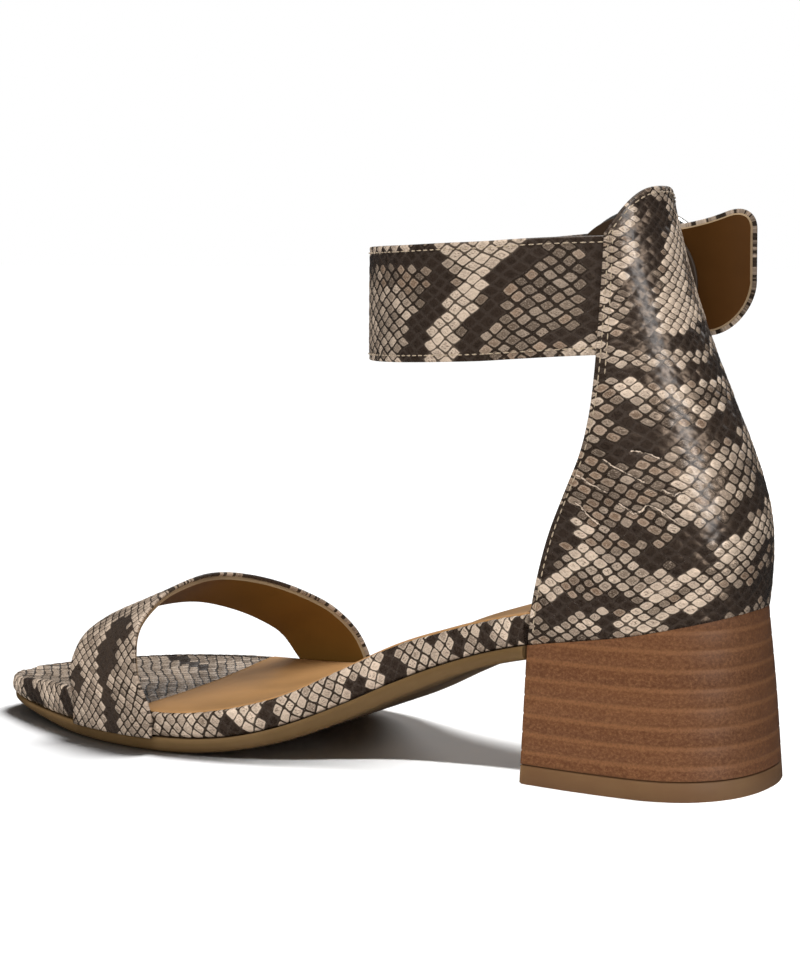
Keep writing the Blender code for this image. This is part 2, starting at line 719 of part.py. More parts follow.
def build_buckle(studio, ring_metal, prong_metal):
    """Ring with a dropped centre bar, and the prong wrapped round the bar."""
    middle, forward, outward, up = buckle_frame_axes()
    bpy.ops.mesh.primitive_torus_add(
        major_segments=RING_SEGMENTS,
        minor_segments=WIRE_SIDES,
        major_radius=RING_RADIUS * MM,
        minor_radius=RING_WIRE * MM,
    )
    made = bpy.context.object
    mesh = made.data
    axes = Matrix((Vector(forward), Vector(up), Vector(np.cross(forward, up)))).transposed().to_4x4()
    centre = to_part([middle + ring_lift() * outward])[0]
    mesh.transform(Matrix.Translation(Vector(centre)) @ axes)
    bpy.data.objects.remove(made, do_unlink=True)
    mesh.name = "buckle_frame"
    mesh.shade_smooth()
    frame = studio.add("buckle_frame", mesh, ring_metal)
    drop = bar_drop()
    lift = ring_lift()
    half_route = [(lift - (lift + drop) * down, RING_RADIUS - inside) for down, inside in BAR_BEND]
    half_route.append((-drop, BAR_REACH))
    side = [at_buckle(0.0, out, rise) for out, rise in half_route]
    far_side = [at_buckle(0.0, out, -rise) for out, rise in reversed(half_route)]
    bar = wire(studio, "buckle_bar", np.array(side + far_side), BAR_WIRE)
    combine(frame, studio.add("buckle_bar", bar), "UNION")
    wrap = BAR_WIRE + FIT_GAP + PRONG_WIRE
    rest = lift + RING_WIRE + FIT_GAP + PRONG_WIRE
    turns = np.radians(np.linspace(PRONG_WRAP_FROM, PRONG_WRAP_TO, PRONG_WRAP_POINTS))
    route = [(wrap * math.cos(a), -drop + wrap * math.sin(a)) for a in turns]
    route += [(go, (rest + drop) * up - drop) for go, up in PRONG_RISE]
    route.append((RING_RADIUS + PRONG_OVERHANG, rest))
    points = along([at_buckle(go, out, 0.0) for go, out in route], PRONG_POINTS)
    prong = wire(studio, "buckle_prong", points, PRONG_WIRE)
    prong.shade_smooth()
    studio.add("buckle_prong", prong, prong_metal)


def round_at_bar(studio, name, radius, height):
    """An upright round bar of some radius on the axis of the buckle's own bar."""
    turns = np.linspace(0.0, 2.0 * math.pi, EYE_SIDES, endpoint=False)
    rings = []
    for rise in (-0.5 * height, 0.5 * height):
        ring = [(radius * math.cos(a), radius * math.sin(a) - bar_drop()) for a in turns]
        rings.append([at_buckle(go, out, rise) for go, out in ring])
    return studio.add(name, loft(name, rings))


def box_at_buckle(studio, name, low, high):
    """A cutting box given by two corners in the buckle's own directions."""
    rings = []
    for go in (low[0], high[0]):
        corners = [(low[1], low[2]), (high[1], low[2]), (high[1], high[2]), (low[1], high[2])]
        rings.append([at_buckle(go, out, rise) for out, rise in corners])
    return studio.add(name, loft(name, rings))


def build_quarter(studio, leather):
    """The closed back, the ankle strap and the buckle strap, joined as one wall."""
    quarter = studio.add("quarter_and_ankle_strap", sheet("quarter", quarter_grid()), leather)
    thicken(quarter, QUARTER_WALL, -1.0)
    strap = studio.add("ankle_strap", sheet("ankle_strap", band_grid(ankle_path(), STRAP_ROWS)))
    thicken(strap, STRAP_WALL, 0.0)
    slot = box_at_buckle(
        studio,
        "prong_slot",
        (PRONG_SLOT_REAR, -2.0 * STRAP_WALL, -PRONG_SLOT_HALF),
        (PRONG_SLOT_FRONT, 2.0 * STRAP_WALL, PRONG_SLOT_HALF),
    )
    combine(strap, slot, "DIFFERENCE")
    combine(quarter, strap, "UNION")
    combine(quarter, build_buckle_strap(studio), "UNION")
    return quarter


def build_buckle_strap(studio):
    """The short strap, with the eye of its fold round the bar and a notch for the prong."""
    end = at_buckle(-EYE_OVERLAP, -bar_drop(), 0.0)
    rows = np.r_[np.array(BUCKLE_STRAP, float), [(end[0], end[1], 0.0, end[2], BUCKLE_STRAP_WIDTH)]]
    path = along(rows, BUCKLE_STRAP_COLUMNS)
    strap = studio.add("buckle_strap", sheet("buckle_strap", band_grid(path, STRAP_ROWS)))
    thicken(strap, STRAP_WALL, 0.0)
    bore = BAR_WIRE + FIT_GAP
    reach = bore + FOLD_WALL
    combine(strap, round_at_bar(studio, "fold_eye", reach, BUCKLE_STRAP_WIDTH), "UNION")
    combine(strap, round_at_bar(studio, "fold_bore", bore, 2.0 * BUCKLE_STRAP_WIDTH), "DIFFERENCE")
    notch = box_at_buckle(
        studio,
        "prong_notch",
        (-bore - 2.0 * PRONG_WIRE - FIT_GAP, -bar_drop() - 2.0 * reach, -PRONG_SLOT_HALF),
        (2.0 * reach, -bar_drop() + 2.0 * reach, PRONG_SLOT_HALF),
    )
    combine(strap, notch, "DIFFERENCE")
    return strap


def vamp_grid():
    """Outer surface of the vamp strap, from the inner to the outer edge of the outsole."""
    stand_off = SIDE_BULGE + FIT_GAP + VAMP_WALL
    grid = []
    for share in np.linspace(0.0, 1.0, VAMP_COLUMNS):
        arch = []
        for rear_x, rear_y, rear_z, front_x, front_y, front_z in VAMP_ARCH:
            rear = np.array((rear_x, rear_y, rear_z))
            front = np.array((front_x, front_y, front_z))
            arch.append(rear + (front - rear) * share)
        feet = []
        for (rear_x, front_x), side in ((VAMP_INNER_FOOT, 0), (VAMP_OUTER_FOOT, 1)):
            x = np.array([rear_x + (front_x - rear_x) * share])
            edge = outline_edges(x)[side][0] + (stand_off, -stand_off)[side]
            seat, *rises, _ = profile(x)
            low = seat[0] + FIT_GAP
            feet.append([(x[0], edge, low), (x[0], edge, low + VAMP_FOOT_SHARE * rises[side][0])])
        line = feet[0] + arch + feet[1][::-1]
        grid.append(along(line, VAMP_ROWS))
    return grid


def build_vamp(studio, leather):
    """The band over the toes."""
    vamp = studio.add("vamp_strap", sheet("vamp_strap", vamp_grid()), leather)
    thicken(vamp, VAMP_WALL, -1.0)
    return vamp


def main():
    """Build every piece of the sandal."""
    studio = Studio()
    build_outsole(studio, finish("outsole_brown", OUTSOLE_COLOUR, 0.5))
    build_midsole(studio, finish("footbed_print", PRINT_COLOUR, 0.35))
    build_insole(studio, finish("tan_sock", SOCK_COLOUR, 0.55))
    build_heel(
        studio,
        finish("stacked_leather", STACK_COLOUR, 0.45),
        finish("top_lift_rubber", LIFT_COLOUR, 0.6),
    )
    build_vamp(studio, finish("vamp_print", PRINT_COLOUR, 0.35))
    build_quarter(studio, finish("quarter_print", PRINT_COLOUR, 0.35))
    build_buckle(
        studio,
        finish("ring_metal", METAL_COLOUR, 0.2, 1.0),
        finish("prong_metal", METAL_COLOUR, 0.2, 1.0),
    )


main()
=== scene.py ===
"""Dress sandal for the right foot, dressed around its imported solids.

Tables are in millimetres: x from the back of the heel towards the toe, y towards the inner side of
the foot, z up from the floor. Every finished mesh is in metres in the part's own frame, whose origin
is on the floor at the middle of the heel's tread.
"""
from __future__ import annotations

import logging
import math
from dataclasses import dataclass
from enum import Enum
from typing import Mapping, Sequence

import bmesh
import bpy
import numpy as np
from mathutils import Matrix, Vector
from mathutils.kdtree import KDTree

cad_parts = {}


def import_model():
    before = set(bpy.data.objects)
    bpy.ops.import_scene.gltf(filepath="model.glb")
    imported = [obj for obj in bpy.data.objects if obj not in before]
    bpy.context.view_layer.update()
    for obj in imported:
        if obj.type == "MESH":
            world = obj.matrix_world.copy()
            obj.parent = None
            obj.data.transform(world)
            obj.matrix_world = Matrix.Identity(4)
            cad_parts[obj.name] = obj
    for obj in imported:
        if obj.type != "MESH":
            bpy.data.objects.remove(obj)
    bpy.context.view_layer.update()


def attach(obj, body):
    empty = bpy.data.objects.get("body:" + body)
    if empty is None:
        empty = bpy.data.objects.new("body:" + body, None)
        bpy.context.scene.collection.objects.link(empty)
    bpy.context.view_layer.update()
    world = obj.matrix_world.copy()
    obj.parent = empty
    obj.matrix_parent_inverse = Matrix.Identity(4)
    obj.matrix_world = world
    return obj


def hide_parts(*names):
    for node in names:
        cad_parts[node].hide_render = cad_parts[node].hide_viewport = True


LOG = logging.getLogger("dress_sandal")
MM = 0.001
# Table x of the part's origin, and the gap that the solids keep between pieces.
ORIGIN_X = 30.0
FIT_GAP = 0.3
# The print's flat map and its face attributes: tones of a scale and its neighbours, place of the scale.
PRINT_UV, TONES, CELL = "print", "tones", "cell"
# Where the footbed's top and its outer side lie on the flat map, clear of its inner side.
TOP_MAP, FAR_MAP = 400.0, 60.0
# Where the short buckle strap's flat map starts.
TAB_MAP = 300.0

Array = np.ndarray
Rows = Sequence[Sequence[float]]
Socket = bpy.types.NodeSocket
Thing = bpy.types.Object
Material = bpy.types.Material
Mesh = bpy.types.Mesh


def smooth_curve(stations: Array, values: Array, at: Array) -> Array:
    """Cubic curve through the rows of a table.

    Args:
        stations: Rising places of the rows.
        values: One value or one row of values per station.
        at: Places to read.

    Returns:
        The values read at those places.
    """
    stations = np.asarray(stations, float)
    values = np.asarray(values, float)
    slopes = np.gradient(values, stations, axis=0)
    at = np.atleast_1d(np.asarray(at, float))
    row = np.clip(np.searchsorted(stations, at) - 1, 0, len(stations) - 2)
    span = stations[row + 1] - stations[row]
    t = np.clip((at - stations[row]) / span, 0.0, 1.0)
    if values.ndim > 1:
        t, span = t[:, None], span[:, None]
    start = (2 * t**3 - 3 * t**2 + 1) * values[row] + (t**3 - 2 * t**2 + t) * span * slopes[row]
    end = (3 * t**2 - 2 * t**3) * values[row + 1] + (t**3 - t**2) * span * slopes[row + 1]
    return start + end


def run_length(points: Array) -> Array:
    """Length along a polyline up to each of its points."""
    return np.r_[0.0, np.cumsum(np.linalg.norm(np.diff(points, axis=0), axis=1))]


def even_points(points: Array, count: int) -> Array:
    """The same polyline with a number of evenly spaced points."""
    length = run_length(points)
    wanted = np.linspace(0.0, length[-1], count)
    return np.stack([np.interp(wanted, length, column) for column in points.T], 1)


def curve_through(points: Rows, count: int) -> Array:
    """Evenly spaced points on a smooth curve through the given ones.

    Args:
        points: Points, each with any number of columns.
        count: How many points come back.

    Returns:
        An array of count rows.
    """
    points = np.asarray(points, float)
    chord = run_length(points)
    return even_points(smooth_curve(chord, points, np.linspace(0.0, chord[-1], 40 * len(points))), count)


def to_part(points: Array) -> Array:
    """Table millimetres to part metres."""
    return (np.asarray(points, float) - (ORIGIN_X, 0.0, 0.0)) * MM


def fade(low: float, high: float, value: Array) -> Array:
    """Smooth step from 0 at low to 1 at high."""
    t = np.clip((np.asarray(value, float) - low) / (high - low), 0.0, 1.0)
    return t * t * (3.0 - 2.0 * t)


def unit(vectors: Array) -> Array:
    """Vectors of length one."""
    return vectors / np.maximum(np.linalg.norm(vectors, axis=-1, keepdims=True), 1e-9)


def hashed(*keys: Array) -> Array:
    """A fixed pseudo-random number from 0 to 1 for each set of whole numbers."""
    mixed = sum(np.asarray(key, float) * weight for key, weight in zip(keys, (127.1, 311.7, 74.7)))
    return np.mod(np.sin(mixed) * 43758.5453, 1.0)


def full_turn(count: int) -> Array:
    """Evenly spaced angles once round."""
    return np.linspace(0.0, 2.0 * math.pi, count, endpoint=False)


def grid_normals(grid: Array) -> Array:
    """Directions square to a grid's rows and columns."""
    return unit(np.cross(np.gradient(grid, axis=0), np.gradient(grid, axis=1)))


def row_lengths(grid: Array) -> Array:
    """Length along each row of a grid up to each of its points."""
    steps = np.linalg.norm(np.diff(grid, axis=1), axis=2)
    return np.concatenate([np.zeros((len(grid), 1)), np.cumsum(steps, axis=1)], axis=1)


def toe_stations(start: float, end: float, count: int) -> Array:
    """Stations from start to end that crowd towards the toe."""
    share = np.linspace(0.0, 1.0, count)
    return start + (end - start) * (0.35 * np.sin(share * math.pi / 2) + 0.65 * share)


def scaled(colour: tuple, factor: float) -> tuple:
    """A colour made lighter or darker."""
    return tuple(min(factor * channel, 1.0) for channel in colour)


class Shader:
    """A material's node tree, written in short steps."""

    def __init__(self, name: str) -> None:
        """Start a material with an empty Principled shader."""
        self.material = bpy.data.materials.new(name)
        self.material.use_nodes = True
        self.tree = self.material.node_tree
        self.principled = self.tree.nodes["Principled BSDF"]

    def node(self, kind: str, inputs: Mapping | None = None, **settings: object) -> bpy.types.Node:
        """Add a node.

        Args:
            kind: Its type.
            inputs: What its sockets get, by their name or number.
            settings: The node's own properties.

        Returns:
            The node.
        """
        node = self.tree.nodes.new(kind)
        for name, value in settings.items():
            setattr(node, name, value)
        for key, value in (inputs or {}).items():
            self.feed(node.inputs[key], value)
        return node

    def feed(self, socket: Socket, value: object) -> None:
        """Link a socket to another one, or set its value.

        Args:
            socket: The socket to feed.
            value: A socket or a plain value.
        """
        if isinstance(value, Socket):
            self.tree.links.new(value, socket)
        elif isinstance(value, tuple) and len(value) == 3 and socket.type == "RGBA":
            socket.default_value = (*value, 1.0)
        else:
            socket.default_value = value

    def math(self, operation: str, *values: object) -> Socket:
        """A Math node on up to three values."""
        return self.node("ShaderNodeMath", dict(enumerate(values)), operation=operation).outputs[0]

    def plus(self, first: object, second: object) -> Socket:
        """A sum."""
        return self.math("ADD", first, second)

    def minus(self, first: object, second: object) -> Socket:
        """A difference."""
        return self.math("SUBTRACT", first, second)

    def times(self, first: object, second: object) -> Socket:
        """A product."""
        return self.math("MULTIPLY", first, second)

    def line(self, value: object, factor: object, start: object) -> Socket:
        """A value times a factor, plus a start."""
        return self.math("MULTIPLY_ADD", value, factor, start)

    def step(self, value: object, low: float, high: float, out: tuple = (0.0, 1.0)) -> Socket:
        """A smooth step between two values."""
        inputs = {"Value": value, "From Min": low, "From Max": high, "To Min": out[0], "To Max": out[1]}
        return self.node("ShaderNodeMapRange", inputs, interpolation_type="SMOOTHSTEP").outputs["Result"]

    def mix(self, share: object, first: object, second: object) -> Socket:
        """A colour mix."""
        return self.node("ShaderNodeMix", {0: share, 6: first, 7: second}, data_type="RGBA").outputs[2]

    def blend(self, share: object, first: object, second: object) -> Socket:
        """A mix of two numbers."""
        return self.node("ShaderNodeMix", {0: share, 2: first, 3: second}, data_type="FLOAT").outputs[0]

    def vector(self, operation: str, *values: object) -> Socket:
        """A Vector Math node on up to three values."""
        node = self.node("ShaderNodeVectorMath", dict(enumerate(values)), operation=operation)
        return node.outputs["Value" if operation in ("DOT_PRODUCT", "DISTANCE") else "Vector"]

    def ramp(self, value: object, stops: Sequence[tuple]) -> Socket:
        """A colour ramp from (place, colour) stops.

        Args:
            value: Place on the ramp.
            stops: Rising places and their colours.

        Returns:
            The ramp's colour.
        """
        node = self.node("ShaderNodeValToRGB", {"Fac": value})
        elements = node.color_ramp.elements
        while len(elements) < len(stops):
            elements.new(0.5)
        for element, (place, colour) in zip(elements, stops):
            element.position = place
            element.color = (*colour, 1.0)
        return node.outputs["Color"]

    def noise(self, place: object, scale: float, detail: float = 2.0, rough: float = 0.5) -> Socket:
        """Noise from 0 to 1 at a place."""
        inputs = {"Vector": place, "Scale": scale, "Detail": detail, "Roughness": rough}
        return self.node("ShaderNodeTexNoise", inputs).outputs["Fac"]

    def object_place(self, scale: tuple = (1.0, 1.0, 1.0)) -> Socket:
        """Object coordinates, stretched."""
        place = self.node("ShaderNodeTexCoord").outputs["Object"]
        return self.node("ShaderNodeMapping", {"Vector": place, "Scale": scale}).outputs["Vector"]

    def apart(self, vector: Socket) -> tuple:
        """The x, y and z of a vector."""
        return tuple(self.node("ShaderNodeSeparateXYZ", {0: vector}).outputs)

    def together(self, x: object, y: object, z: object = 0.0) -> Socket:
        """A vector from three values."""
        return self.node("ShaderNodeCombineXYZ", {0: x, 1: y, 2: z}).outputs[0]

    def attribute(self, name: str) -> tuple:
        """The x, y and z of a stored attribute."""
        return self.apart(self.node("ShaderNodeAttribute", attribute_name=name).outputs["Vector"])

    def set(self, **sockets: object) -> None:
        """Feed the Principled shader's sockets, with _ for a space in their names."""
        for name, value in sockets.items():
            self.feed(self.principled.inputs[name.replace("_", " ")], value)

    def bump(self, height: object, distance: float, strength: float = 1.0) -> None:
        """Give the shader a bumped normal, on top of any earlier bump.

        Args:
            height: Height of the surface.
            distance: Metres for a height of 1.
            strength: Share of its effect.
        """
        node = self.node("ShaderNodeBump", {"Height": height, "Distance": distance, "Strength": strength})
        normal = self.principled.inputs["Normal"]
        if normal.is_linked:
            self.feed(node.inputs["Normal"], normal.links[0].from_socket)
        self.feed(normal, node.outputs["Normal"])


class Tone(Enum):
    """The print's kinds of scale."""

    DARK = 0.0
    TAUPE = 0.5
    LIGHT = 0.75
    CREAM = 1.0


MARKS = {"d": Tone.DARK, "l": Tone.LIGHT, "c": Tone.CREAM}

# Charts of the print, drawn on each panel's flat map in millimetres. A row is a mark's letter,
# its half width, and then the u and v of each point on its way. Later rows lie over earlier ones, and
# scales that no row reaches are taupe.
# Ankle strap: u along from under the quarter's inner edge, v up from the strap's middle.
STRAP_CHART = (
    ("l", 9.0, 64, -5, 88, -3), ("l", 5.0, 36, 11, 43, 10), ("c", 2.4, 27, 13.5, 48, 13.5),
    ("c", 3.6, 36, 8, 37, 5, 40, 1, 44, -3, 47, -7, 46, -10), ("c", 3.4, 44, -11, 49, -12.5),
    ("c", 2.4, 5, -13, 11, -13.5), ("d", 3.0, 6.5, 14, 7.5, 4, 7.5, -7),
    ("d", 1.5, 9, -9, 13, -9.5, 18, -10.5), ("d", 1.2, 9, 14, 23, 14),
    ("d", 2.9, 24, 12, 29, 8.4, 31.8, 4.5, 32.5, 1, 33.6, -2, 36, -5, 38, -8, 38.8, -11, 38.4, -14),
    ("d", 2.6, 53, 13, 48.4, 9, 47, 5.2), ("d", 3.1, 47.5, 4.5, 49.5, 1, 52, -2.5, 55, -6),
    ("d", 3.9, 56, -8.5, 56.8, -13), ("d", 2.0, 50, 12.6, 70, 11.8, 92, 11.6),
    # the two thin cream marks on the next line are painted highlight on the strap's folded edges, partly the
    # pale thread
    ("c", 0.9, 57, 14.5, 96, 14.5), ("c", 0.9, 62, -14.6, 84, -14.6),
    ("c", 3.3, 92, -14, 99, -4, 104, 6, 108, 14), ("d", 3.2, 98, -14, 105, -5, 110, 4, 116, 13),
    ("c", 3.2, 124, 14, 120, 5, 124, -4, 132, -13), ("d", 3.2, 131, 14, 126.5, 5, 131, -4, 139, -13),
    ("d", 1.7, 139, -13.4, 160, -13.2), ("c", 3.2, 176, 12, 171, 6, 172, -1, 178, -8, 180, -14),
    ("d", 3.1, 168, 13, 163, 6, 165, -1, 171, -8, 172, -14),
    ("d", 3.2, 186, -13, 190, -5, 196, 2, 198, 10, 195, 14),
    ("l", 1.9, 178, 15, 192, 15.6, 210, 16, 210, -16, 192, -15.4, 178, -15),
)
# Quarter: u from the middle of the back towards the inner side, v up from the floor.
QUARTER_CHART = (
    ("c", 4.6, 0, 136, 3, 130, 7, 122, 2, 119, 11, 117), ("c", 1.9, 13, 117, 15, 114.5),
    ("l", 2.2, -2, 146.5, 5, 148.6), ("l", 1.2, 14, 146, 19, 139, 22, 130, 24, 122, 27, 114),
    # the three cream marks on the next line, and the cream mark from u 13 to 18 at v 100 further down, are
    # partly cream scales and partly painted highlight
    ("c", 1.6, 12, 144.5, 16, 141), ("c", 1.4, 13.5, 137, 17, 133), ("c", 1.2, 18, 130, 19, 125),
    ("l", 1.3, 19.2, 138.5, 21.3, 130.4, 24, 121.8, 27, 113.2, 29, 109), ("c", 1.2, 11, 106.8, 22, 107.6),
    ("l", 1.8, -4, 108, 10, 108.3, 28, 108), ("l", 2.0, 36, 98, 40, 92), ("c", 2.3, 24, 101, 29, 101),
    ("c", 1.3, -2, 102.4, 9, 102), ("c", 1.5, 13, 100.5, 18, 100, 13, 94.5, 3, 95.5),
    ("l", 2.2, -4, 86, 8, 84, 18, 80, 26, 73), ("l", 2.2, 0, 78, 12, 76, 22, 69, 28, 66),
    ("c", 1.6, 19, 82, 23, 79, 24, 73), ("l", 4.5, 34, 54, 46, 56), ("l", 3.0, 36, 46, 40, 44),
    ("l", 2.8, 48, 43.5, 58, 42), ("c", 1.7, -3, 67.5, 5, 66.5, 13, 62, 24, 57.5, 30, 54, 36, 50),
    ("l", 2.6, -3, 63.5, 6, 62, 14, 57, 22, 53), ("c", 1.9, 20, 52, 26, 48, 32, 44.5, 42, 42),
    ("c", 1.8, 49, 67, 53, 66), ("c", 1.8, 51, 61.5, 55, 58, 58, 53.5, 61, 50, 62, 46.5),
    ("c", 1.5, 63, 52, 67, 50.5), ("c", 1.6, 65, 45, 67, 43), ("d", 3.6, 4, 143.5, 11, 139.5),
    ("d", 2.6, 3, 145, 9, 146.5), ("d", 1.2, 8, 148, 14, 145.5, 19, 140.5),
    ("d", 3.4, 9, 137.5, 12.4, 132.5, 15, 127, 16.4, 121, 18, 116, 18.4, 112.5),
    ("d", 1.9, -6, 112, 12, 112, 26, 112.6), ("d", 1.9, -6, 104.8, 12, 104.6, 22, 103.8, 31, 106),
    ("d", 1.5, 29, 97.5, 31, 93.5), ("d", 2.6, -6, 92, 9, 92),
    ("d", 2.0, -4, 89, 16, 89.6, 20, 91.5, 25, 88), ("d", 2.5, 26, 89.5, 29, 88, 33, 84),
    ("d", 1.4, 36, 86, 38, 83), ("d", 2.3, -5, 74, 6, 72.5, 12, 68.5),
    ("d", 2.6, 10, 68, 20, 66, 26, 63, 35, 59.5), ("d", 1.6, 21, 60.5, 28, 58),
    ("d", 1.5, 35, 66.5, 41, 66), ("d", 1.5, -6, 59.5, 4, 59), ("d", 2.5, -6, 50.5, 13, 50.2),
    ("d", 2.0, 10, 48.5, 22, 46, 28, 42.5), ("d", 1.5, 52, 71.5, 58, 69),
    ("d", 2.7, 55, 66.5, 61, 62, 65, 56), ("d", 1.9, 42, 48.5, 50, 48, 58, 46.6, 63, 43),
    ("d", 1.7, 45.5, 45, 45, 41),
)
# Toe strap: u across from the rear edge, v along from the inner foot.
VAMP_CHART = (
    ("l", 18.0, 12, -5, 12, 150), ("c", 3.2, 0.5, 28, 2.5, 36), ("l", 3.0, 20, 4, 20, 30),
    ("c", 1.6, 17.2, 3, 16.6, 12, 16.2, 20, 15.2, 30, 16.5, 34), ("c", 1.4, 23.5, 20, 24, 28),
    ("c", 1.6, 26, 4, 30, 4), ("c", 3.0, 16, 42, 22, 52, 24, 58), ("d", 2.3, 13.8, 1, 13.9, 9, 12.6, 19),
    ("d", 3.6, 12, 21, 9.6, 28, 8.5, 31.5), ("d", 2.0, 4, 27.5, 9, 29), ("d", 1.6, 24.6, 17, 26.6, 12),
    ("d", 2.6, 12, 52, 16, 60, 18, 68), ("d", 2.6, 2, 46, 8, 56, 12, 66, 10, 76),
    ("c", 2.6, 4, 66, 5, 76, 3, 84), ("d", 2.8, 20, 68, 18, 78, 14, 88, 16, 98),
    ("c", 2.2, 22, 80, 20, 92, 21, 104), ("d", 2.6, 3, 92, 7, 100, 5, 112, 7, 122),
    ("d", 1.8, 0, 57, 0, 63), ("d", 1.8, 0, 76, 0, 85),
)
# Footbed: inner side u forward from the heel's breast and v up, outer side the same beside it with
# u backward, top by x and y.
RIM_CHART = (
    ("l", 9.0, -90, 4, 230, 4), ("c", 2.0, 4, 1, 6.5, 7), ("c", 2.0, 47, 1, 50, 8),
    ("c", 2.8, 82, 5, 87, 5.5), ("l", 2.4, 94, 5, 112, 4), ("l", 2.4, 24, 3, 36, 6),
    ("l", 3.0, 60, 4, 75, 5), ("d", 2.2, -2, 2, 2.5, 4), ("d", 1.2, 11, 1, 13, 6),
    ("d", 1.3, 19, 1.5, 21.5, 7), ("d", 1.0, 27, 4, 29, 8), ("d", 2.6, 41.5, 1, 44, 8),
    ("d", 1.8, 51.5, 0.5, 55, 5), ("d", 1.7, 78, 0, 78.6, 5), ("d", 2.2, 87, 0, 91, 3),
    ("d", 2.4, 146, 1, 152, 6), ("c", 2.2, 160, 1, 166, 7), ("d", 2.6, 170, 1, 177, 6),
    ("c", 2.2, 182, 2, 190, 4), ("d", 2.6, -20, 61, -24, 68), ("d", 2.6, -52, 62, -58, 67),
    ("c", 2.4, -62, 62, -67, 68), ("d", 2.6, -84, 61, -90, 66), ("c", 2.2, -112, 62, -118, 68),
    ("d", 2.6, -140, 61, -147, 67), ("d", 2.6, -176, 61, -184, 66), ("l", 40.0, 570, 0, 640, 0),
    ("c", 3.5, 574, 10, 584, -6, 590, -16), ("c", 3.0, 572, 24, 580, 16),
    ("d", 2.6, 585, 24, 604, 8, 612, -10), ("d", 2.4, 603, 22, 618, 4, 624, -8),
    ("c", 2.2, 596, 26, 612, 8, 620, -12), ("d", 2.4, 582, -20, 594, -28, 600, -34),
)
# Short buckle strap: u along, v up from its middle.
TAB_CHART = (("d", 3.0, 304, 14, 309, 2, 306, -13), ("c", 2.4, 314, 13, 317, 0, 314, -13))
# Wrinkles across the quarter's inner side, pressed in, with painted shade beside them and a painted highlight
# on them, as the u and v of each point on their way.
QUARTER_WRINKLES = (
    (39.3, 83.8, 36.3, 81.3, 32.3, 78.6), (47.3, 79.8, 45.3, 77.9, 42.0, 75.9),
    (32.0, 86.0, 29.1, 85.7, 26.2, 84.3), (28.8, 76.8, 26.5, 75.6, 22.9, 76.4),
    (50.6, 72.8, 49.1, 70.3, 46.6, 67.8),
    (39.9, 73.3, 36.9, 70.8, 33.3, 73.1, 30.8, 72.0, 27.8, 69.3),
)


def mirrored(chart: tuple, about: float, lift: float) -> tuple:
    """A chart turned over about a line and shifted up, for a panel's other side.

    Args:
        chart: Rows of marks.
        about: What a u and its mirrored u add up to.
        lift: Shift in v.

    Returns:
        The turned rows of the marks that reach a u above 0.
    """
    turned = []
    for mark, radius, *way in chart:
        if max(way[::2]) > 0.0:
            places = [place for u, v in zip(way[::2], way[1::2]) for place in (about - u, v + lift)]
            turned.append((mark, radius, *places))
    return tuple(turned)


